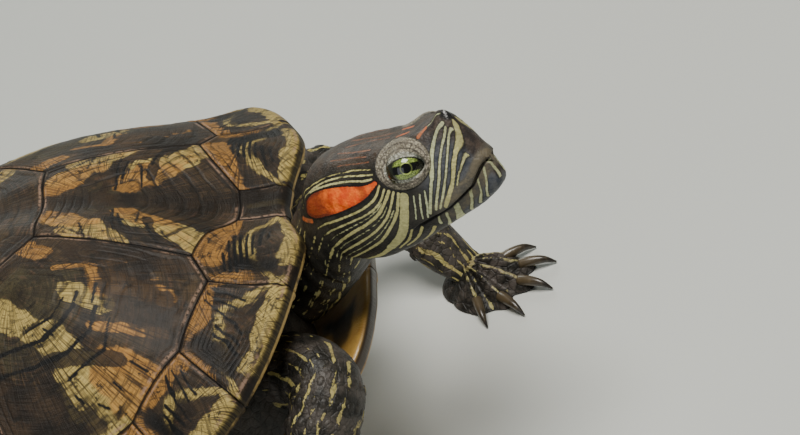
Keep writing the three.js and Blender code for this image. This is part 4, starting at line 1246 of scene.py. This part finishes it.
def scales(name, rings, fields, outward, material):
    """Flat overlapping scales set in rows on a limb: each a small dome whose rear edge stands proud."""
    first, last = SCALE_ROWS[name.split("_")[0]]
    rows, columns = np.arange(first, last, SCALE_STEP), np.arange(0, rings.shape[1], SCALE_STEP)
    sample = np.ix_(rows, columns)
    root = rings[sample].reshape(-1, 3)
    normal = outward[sample].reshape(-1, 3)
    ahead = unit(np.gradient(rings, axis=0)[sample].reshape(-1, 3))
    across = unit(np.cross(normal, ahead))
    rng = np.random.default_rng(5)
    size = rng.uniform(0.8, 1.12, len(root))
    jog = rng.uniform(-0.3, 0.3, (2, len(root)))
    ring = np.array([0.34, 0.68, 1.0])[:, None]
    turn = np.linspace(0, 2 * math.pi, 10, endpoint=False)
    u, v = (ring * np.cos(turn)).ravel(), (ring * np.sin(turn)).ravel()
    u, v = np.append(u, 0), np.append(v, 0)
    height = SCALE_LIFT * (1 - (u ** 2 + v ** 2) ** 1.5 + 0.16 * u) - 0.2 * (u ** 2 + v ** 2 > 0.9)
    forth = (0.5 * u + 0.3 * jog[0][:, None]) * SCALE_LENGTH * size[:, None]
    aside = (0.5 * v + 0.3 * jog[1][:, None]) * SCALE_WIDTH * size[:, None]
    points = (root[:, None] + ahead[:, None] * forth[..., None] + across[:, None] * aside[..., None]
              + normal[:, None] * height[:, None])
    points[..., 2] = np.maximum(points[..., 2], 0.06)
    each = len(u)
    base = np.arange(len(root))[:, None, None] * each
    index = np.arange(30).reshape(3, 10)
    quads = (ring_quads(index)[None] + base).reshape(-1, 4)
    triangles = (fan_triangles(index[0], 30)[None] + base).reshape(-1, 3)
    row_step = np.linalg.norm(np.gradient(rings, axis=0)[sample], axis=-1).reshape(-1, 1)
    turn_step = (np.roll(rings, -1, axis=1) - rings)[sample].reshape(-1, 3)
    column_step = np.linalg.norm(turn_step, axis=1) * np.sign(np.sum(turn_step * across, axis=1))
    column_step = column_step[:, None]
    at_row, at_column = (grid.reshape(-1, 1) for grid in np.meshgrid(rows, columns, indexing="ij"))
    at_row = np.clip(np.rint(at_row + u * 0.5 * SCALE_LENGTH / row_step), 0, rings.shape[0] - 1).astype(int)
    at_column = np.rint(at_column + v * 0.5 * SCALE_WIDTH / column_step).astype(int) % rings.shape[1]
    values = {key: fields[key][at_row, at_column].ravel() for key in SKIN_FIELDS}
    values["scaly"] = np.full(len(root) * each, 0.4)
    piece = build(f"scales_{name}", points.reshape(-1, 3), quads, triangles, values)
    spots = np.stack(np.meshgrid(columns / rings.shape[1], rows / rings.shape[0]), axis=-1).reshape(-1, 2)
    patch = spots[:, None] * 0.98 + 0.01 + 0.0015 * np.stack([v, u], axis=-1)[None]
    corner = np.empty(len(piece.data.loops), np.int32)
    piece.data.loops.foreach_get("vertex_index", corner)
    layer = piece.data.uv_layers.new(name="OFBake")
    layer.data.foreach_set("uv", patch.reshape(-1, 2)[corner].astype(np.float32).ravel())
    settle(piece, material, "skin", name)


def flesh(material):
    """The skin over head, neck, trunk, legs, feet and tail, and the scales on the legs and tail."""
    limbs = {name: limb(stations, seed=61 + 11 * i) for i, (name, stations) in enumerate(LEGS.items())}
    limbs["tail"] = limb(TAIL, seed=131, rows=60, columns=40, count=8)
    parts = [head_and_neck(), trunk_rings()]
    parts += [(placed(rings), fields) for rings, fields, _ in limbs.values()]
    for shape in FEET.values():
        rings, fields = foot(shape)
        parts.append((placed(rings), fields))
    skin = merged_skin(parts, [shape["wrist"] for shape in FEET.values()])
    settle(skin, material, "skin", "head", "lower_jaw", "neck", "trunk", "tail", *LEGS, *FEET)
    for name, (rings, fields, outward) in limbs.items():
        scales(name, placed(rings), fields, outward, material)


# ------------------------------------------------------------------ finishes

def shell_finish():
    """Worn horn: near-black to brown with tan, orange and black marks, streaked along rays and growth."""
    f = Finish("carapace horn")
    border, groove = f.attribute("border"), f.attribute("groove")
    fan, under = f.attribute("fan", "Vector"), f.attribute("under")
    orange, pale, dark = f.attribute("orange"), f.attribute("pale"), f.attribute("dark")
    black, olive = f.attribute("black"), f.attribute("olive")
    place = f.place()
    speckle = f.noise(place, 1100, 4, 0.65)
    cloud = f.noise(place, 110, 4, 0.62)
    blot = f.noise(place, 300, 4, 0.65)
    rays = f.noise(f.scaled(fan, (1.6, 1.6, 0.4)), 3.4, 3, 0.6)
    lines = f.noise(f.scaled(fan, (0.10, 0.10, 7.0)), 2.4, 4, 0.65)
    base = f.mix(cloud.step(0.36, 0.66), (0.011, 0.008, 0.006), (0.048, 0.031, 0.015))
    base = f.mix(olive * cloud.step(0.2, 0.7) * 0.6, base, (0.055, 0.055, 0.026))
    base = f.mix(rays.step(0.50, 0.62) * 0.45, base, (0.085, 0.052, 0.024))
    base = f.mix(lines.step(0.56, 0.66) * 0.4, base, (0.115, 0.060, 0.036))
    ragged = 0.9 * (rays - 0.5) + 0.6 * (blot - 0.5)
    base = f.mix((pale + ragged).step(0.22, 0.64) * (0.5 + 0.8 * cloud).clamped(), base,
                 f.mix(rays.step(0.35, 0.65), (0.26, 0.185, 0.052), (0.52, 0.395, 0.125)))
    base = f.mix((orange + ragged).step(0.22, 0.66) * (0.45 + 0.8 * cloud).clamped(), base,
                 f.mix(rays.step(0.35, 0.65), (0.19, 0.088, 0.022), (0.43, 0.215, 0.048)))
    base = f.mix((dark - ragged).step(0.24, 0.62) * 0.92, base,
                 f.mix(cloud.step(0.4, 0.65), (0.011, 0.008, 0.006), (0.040, 0.025, 0.014)))
    base = f.mix(lines.step(0.50, 0.40) * (0.35 + 0.4 * rays.step(0.4, 0.6)), base, (0.016, 0.012, 0.008))
    base = f.mix(rays.step(0.47, 0.36) * 0.75, base, (0.016, 0.011, 0.007))
    # Painted shade: the growth grooves are darkened to near black, unevenly by the blot noise.
    base = f.mix(groove.step(0.35, 0.8) * (0.35 + 0.5 * blot.step(0.35, 0.6)), base, (0.010, 0.008, 0.006))
    base = f.mix(blot.step(0.57, 0.64) * speckle.step(0.42, 0.5) * 0.85, base, (0.010, 0.008, 0.006))
    base = f.mix((black * 1.4 * blot.step(0.25, 0.42)).clamped(), base, (0.004, 0.004, 0.004))
    # Pale pinkish line, in places, on the raised lip inside each seam: partly the lip's own paler horn,
    # partly a painted highlight along the ridge.
    lip = border.step(0.3, 0.45) * border.step(1.0, 0.6)
    base = f.mix(lip * cloud.step(0.44, 0.6) * speckle.step(0.4, 0.5) * 0.6, base, (0.36, 0.23, 0.16))
    base = f.mix(border.step(0.36, 0.02) * 0.9, base, (0.008, 0.006, 0.005))
    belly = f.mix(cloud.step(0.45, 0.62), (0.42, 0.28, 0.09), (0.05, 0.035, 0.018))
    base = f.mix(under, base, belly)
    fine = f.noise(f.scaled(fan, (0.2, 0.2, 12.0)), 6.0, 3, 0.6)
    height = fine * 0.4 + lines * 0.7 + rays * 0.6 + speckle * 0.3
    normal = f.bump(height, 0.0006, 0.6)
    return f.set(Base_Color=base, Roughness=0.34 + 0.25 * cloud + 0.12 * speckle, Normal=normal,
                 Coat_Weight=0.05, Coat_Roughness=0.2, Specular_IOR_Level=0.2).material


def plastron_finish():
    """Smooth yellow horn with a dark smudge on each plate."""
    f = Finish("plastron horn")
    smudge, border = f.attribute("smudge"), f.attribute("border")
    place = f.place()
    cloud = f.noise(place, 150, 4, 0.6)
    grain = f.noise(f.attribute("fan", "Vector"), 3.0, 3, 0.6)
    base = f.mix(cloud.step(0.35, 0.7), (0.50, 0.30, 0.075), (0.36, 0.19, 0.045))
    base = f.mix((smudge * (0.6 + cloud * 0.8)).clamped(), base, (0.040, 0.028, 0.015))
    base = f.mix(border.step(0.6, 0.05), base, (0.035, 0.022, 0.012))
    return f.set(Base_Color=base, Roughness=0.28 + 0.2 * cloud, Normal=f.bump(grain + cloud, 0.0004, 0.4),
                 Coat_Weight=0.25, Coat_Roughness=0.15).material


def skin_finish():
    """Slate skin with yellow-green stripes, a red patch behind the eye, horn round the mouth and scales."""
    f = Finish("skin")
    stripe, tone, red = f.attribute("stripe"), f.attribute("tone"), f.attribute("red")
    rust, horn, lid = f.attribute("rust"), f.attribute("horn"), f.attribute("lid")
    snout, mouth, crown = f.attribute("snout"), f.attribute("mouth"), f.attribute("crown")
    scaly, along = f.attribute("scaly"), f.attribute("along")
    place = f.place()
    cloud = f.noise(place, 160, 4, 0.6)
    blot = f.noise(place, 420, 3, 0.6)
    grain = f.noise(place, 1500, 3, 0.6)
    pebble = f.cells(place, 1900)
    scale = f.cells(place, 420)
    scale_edge = f.cells(place, 420, "DISTANCE_TO_EDGE")
    muzzle = along.step(31, 37)
    neck = (1 - scaly) * along.step(4, -6)
    ragged = (stripe + 0.25 * (blot - 0.5) + 0.2 * (grain - 0.5)
              + (0.5 * scaly + 0.6 * neck) * (blot.step(0.3, 0.62) - 0.35))
    dark = f.mix(cloud.step(0.35, 0.65), (0.012, 0.011, 0.009), (0.040, 0.035, 0.027))
    dark = f.mix(muzzle, dark, f.mix(blot.step(0.4, 0.6), (0.040, 0.046, 0.058), (0.085, 0.088, 0.094)))
    dark = f.mix(crown * 0.85, dark, f.mix(blot.step(0.4, 0.6), (0.026, 0.018, 0.013), (0.060, 0.040, 0.026)))
    dark = f.mix(scaly * cloud.step(0.42, 0.6), dark, (0.075, 0.062, 0.054))
    light = f.mix(tone, (0.52, 0.43, 0.120), (0.56, 0.60, 0.36))
    # Duller stripes: on the legs this is their own colour; on the neck it is painted shade, the neck lying in
    # shadow below the head.
    light = f.mix(scaly * 0.75 + neck * 0.4, light,
                  f.mix(cloud.step(0.4, 0.6), (0.30, 0.255, 0.090), (0.20, 0.135, 0.090)))
    light = f.mix(grain.step(0.35, 0.7) * 0.5, light, (0.24, 0.22, 0.085))
    outline = ragged.step(0.35, 0.10) * (1 - scaly)
    base = f.mix(outline * 0.75, dark, (0.010, 0.009, 0.008))
    base = f.mix(ragged.step(0.10, -0.10) * (1 - 0.3 * crown), base, light)
    base = f.mix(scaly * scale_edge.step(0.08, 0.02) * 0.45, base, (0.012, 0.010, 0.009))
    bare = 1 - ragged.step(0.10, -0.10) * 0.75
    base = f.mix(horn * bare * 0.9, base,
                 f.mix(blot.step(0.38, 0.62), (0.135, 0.112, 0.072), (0.075, 0.068, 0.054)))
    grit = f.mix(pebble.step(0.3, 0.8), (0.38, 0.34, 0.25), (0.105, 0.09, 0.066))
    grit = f.mix(blot.step(0.42, 0.6) * 0.75, grit, (0.19, 0.165, 0.125))
    bands = abs(lid - 1.47).step(0.06, 0.02) + abs(lid - 1.72).step(0.05, 0.015) * blot.step(0.35, 0.5)
    grit = f.mix(bands * 0.65, grit, (0.055, 0.048, 0.040))
    grit = f.mix(lid.step(1.36, 1.26), grit,
                 f.mix(pebble.step(0.3, 0.7), (0.42, 0.42, 0.35), (0.20, 0.195, 0.155)))
    grit = f.mix(lid.step(1.10, 1.05), grit, (0.035, 0.034, 0.026))
    on_lid = lid.step(0.98, 1.02) * lid.step(2.04, 1.96)
    base = f.mix(on_lid * 0.95, base, grit)
    # Painted shade: the skin of the socket inside the eye opening, behind the eyeball, is darkened to near
    # black.
    base = f.mix(lid.step(1.04, 0.98), base, (0.020, 0.020, 0.014))
    # Painted shade: a dark line along the crease at the outer edge of the lid skin.
    base = f.mix(abs(lid - 2.0).step(0.08, 0.01) * 0.75, base, (0.020, 0.018, 0.015))
    base = f.mix(red.step(0.62, 0.35), base, (0.010, 0.008, 0.007))
    warm = f.mix(blot.step(0.38, 0.66), (0.74, 0.075, 0.008), (0.95, 0.175, 0.018))
    rear = (along + 9 * (blot - 0.5)).step(11, 5.0)
    front = (abs(along - 18.5) + 3 * (blot - 0.5)).step(1.6, 0.5) * 0.5
    warm = f.mix((rear * 0.85 + front + red.step(-0.9, -0.2) * 0.2).clamped(), warm, (0.17, 0.030, 0.012))
    base = f.mix((red + 0.3 * (grain - 0.5)).step(0.12, -0.08), base, warm)
    rusty = f.mix(blot.step(0.4, 0.6), (0.60, 0.14, 0.035), (0.36, 0.12, 0.045))
    rusty = f.mix(along.step(28, 25) * along.step(-1, 6), rusty, (0.25, 0.095, 0.042))
    base = f.mix((rust + 0.3 * (grain - 0.5)).step(0.14, -0.14) * 0.85, base, rusty)
    base = f.mix(snout * 0.92, base, (0.006, 0.007, 0.008))
    # Painted shade: the slit along the mouth line is darkened to near black.
    base = f.mix(mouth.step(0.30, 0.1), base, (0.008, 0.006, 0.005))
    height = (grain * 0.3 + (1 - pebble) * (0.35 + 0.9 * on_lid)
              + scaly * (scale_edge.step(0.0, 0.12) + (1 - scale)) * 0.8)
    normal = f.bump(height, 0.0005, 0.6)
    return f.set(Base_Color=base, Roughness=0.42 + 0.2 * cloud - 0.25 * snout, Normal=normal,
                 Coat_Weight=0.07 + 0.55 * snout, Coat_Roughness=0.15, Specular_IOR_Level=0.28).material


def eye_finish():
    """Glossy eye: black pupil, lime-green iris crossed by a dark bar, dark rim and sclera."""
    f = Finish("eye")
    gaze = f.attribute("gaze", "Vector")
    ahead, above, facing = (f.node("ShaderNodeSeparateXYZ", {}, {0: gaze}, axis) for axis in range(3))
    out = (ahead * ahead + above * above) ** 0.5
    turn = above.math("ARCTAN2", ahead)
    fibres = f.noise(f.node("ShaderNodeCombineXYZ", {}, {0: turn * 3.0, 1: out * 4.0, 2: 0.0}), 3.0, 3, 0.6)
    iris = f.mix(fibres.step(0.35, 0.65), (0.070, 0.115, 0.020), (0.36, 0.46, 0.095))
    iris = f.mix(out.step(0.44, 0.28) * 0.55, iris, (0.045, 0.075, 0.018))
    iris = f.mix(out.step(0.50, 0.66) * 0.7, iris, (0.035, 0.045, 0.018))
    wing = (abs(above) + 0.10 * (fibres - 0.5)).step(0.23, 0.16) * out.step(0.2, 0.25)
    iris = f.mix(wing, iris, (0.003, 0.003, 0.003))
    ring = out.step(0.225, 0.245) * out.step(0.31, 0.27)
    iris = f.mix(ring * (1 - 0.8 * wing), iris, (0.45, 0.54, 0.14))
    base = f.mix(out.step(0.60, 0.70), iris, (0.018, 0.020, 0.012))
    base = f.mix(out.step(0.245, 0.215), base, (0.002, 0.002, 0.002))
    base = f.mix(facing.step(0.1, -0.1), base, (0.02, 0.02, 0.015))
    return f.set(Base_Color=base, Roughness=0.10, Coat_Weight=0.8, Coat_Roughness=0.03,
                 Specular_IOR_Level=0.5).material


def claw_finish():
    """Dark horn, paler at the root."""
    f = Finish("claw horn")
    tip = f.attribute("tip")
    streak = f.noise(f.scaled(f.place(), (1, 1, 0.3)), 900, 3, 0.6)
    base = f.mix(tip.step(0.3, 0.8), (0.075, 0.055, 0.030), (0.014, 0.010, 0.007))
    base = f.mix(streak.step(0.5, 0.7) * 0.5, base, (0.12, 0.09, 0.05))
    return f.set(Base_Color=base, Roughness=0.25 + 0.2 * streak, Coat_Weight=0.3).material


# ------------------------------------------------------------------ the animal

shell_horn, belly_horn = shell_finish(), plastron_finish()
skin_surface, eye_surface, claw_horn = skin_finish(), eye_finish(), claw_finish()
carapace(shell_horn)
plastron(belly_horn)
flesh(skin_surface)
for eye_side in (1, -1):
    eyeball(eye_side, eye_surface)
for foot_name, foot_shape in FEET.items():
    claws(foot_name, foot_shape, claw_horn)


# ------------------------------------------------------------------ floor, light and camera

FLOOR_HALF = 4000


def floor():
    """Plain pale floor."""
    f = Finish("floor")
    tint = f.noise(f.place(), 3, 2, 0.5)
    f.set(Base_Color=f.mix(tint, (0.56, 0.58, 0.55), (0.60, 0.61, 0.58)), Roughness=0.6)
    corners = FLOOR_HALF * np.array([(-1, -1, 0), (1, -1, 0), (1, 1, 0), (-1, 1, 0)], float)
    piece = build("floor", corners, [(0, 1, 2, 3)], smooth=False)
    piece.data.materials.append(f.material)


def lamp(name, place, target, size, power, tint):
    """Square soft light at place, aimed at target; metres and watts."""
    data = bpy.data.lights.new(name, "AREA")
    data.size, data.energy, data.color = size, power, tint
    light = bpy.data.objects.new(name, data)
    light.location = place
    away = (Vector(place) - Vector(target)).to_track_quat("Z", "Y")
    light.rotation_euler = away.to_euler()
    bpy.context.scene.collection.objects.link(light)


floor()
lamp("key", (0.25, -0.12, 1.0), (0.05, 0.0, 0.05), 0.5, 13, (1.0, 0.97, 0.91))
lamp("fill", (-0.5, -0.9, 0.5), (0.0, 0.0, 0.04), 0.9, 2.5, (0.92, 0.96, 1.0))
lamp("back", (-0.3, 1.1, 0.6), (0.0, 0.0, 0.05), 0.6, 4, (0.95, 1.0, 0.94))
world = bpy.data.worlds.new("studio")
world.use_nodes = True
world.node_tree.nodes["Background"].inputs["Color"].default_value = (0.62, 0.66, 0.64, 1)
world.node_tree.nodes["Background"].inputs["Strength"].default_value = 0.17
bpy.context.scene.world = world

CAMERA_PLACE = np.array([194.51, -368.68, 327.34]) - CENTRE
CAMERA_RIGHT = (0.9283, -0.0444, -0.3692)
CAMERA_UP = (0.3195, 0.6032, 0.7308)
CAMERA_BACK = (0.1902, -0.7964, 0.5741)
optics = bpy.data.cameras.new("camera")
optics.lens, optics.sensor_width = 85, 36
viewpoint = bpy.data.objects.new("camera", optics)
turn = Matrix((CAMERA_RIGHT, CAMERA_UP, CAMERA_BACK)).transposed().to_4x4()
viewpoint.matrix_world = Matrix.Translation(CAMERA_PLACE * MM) @ turn
bpy.context.scene.collection.objects.link(viewpoint)
bpy.context.scene.camera = viewpoint
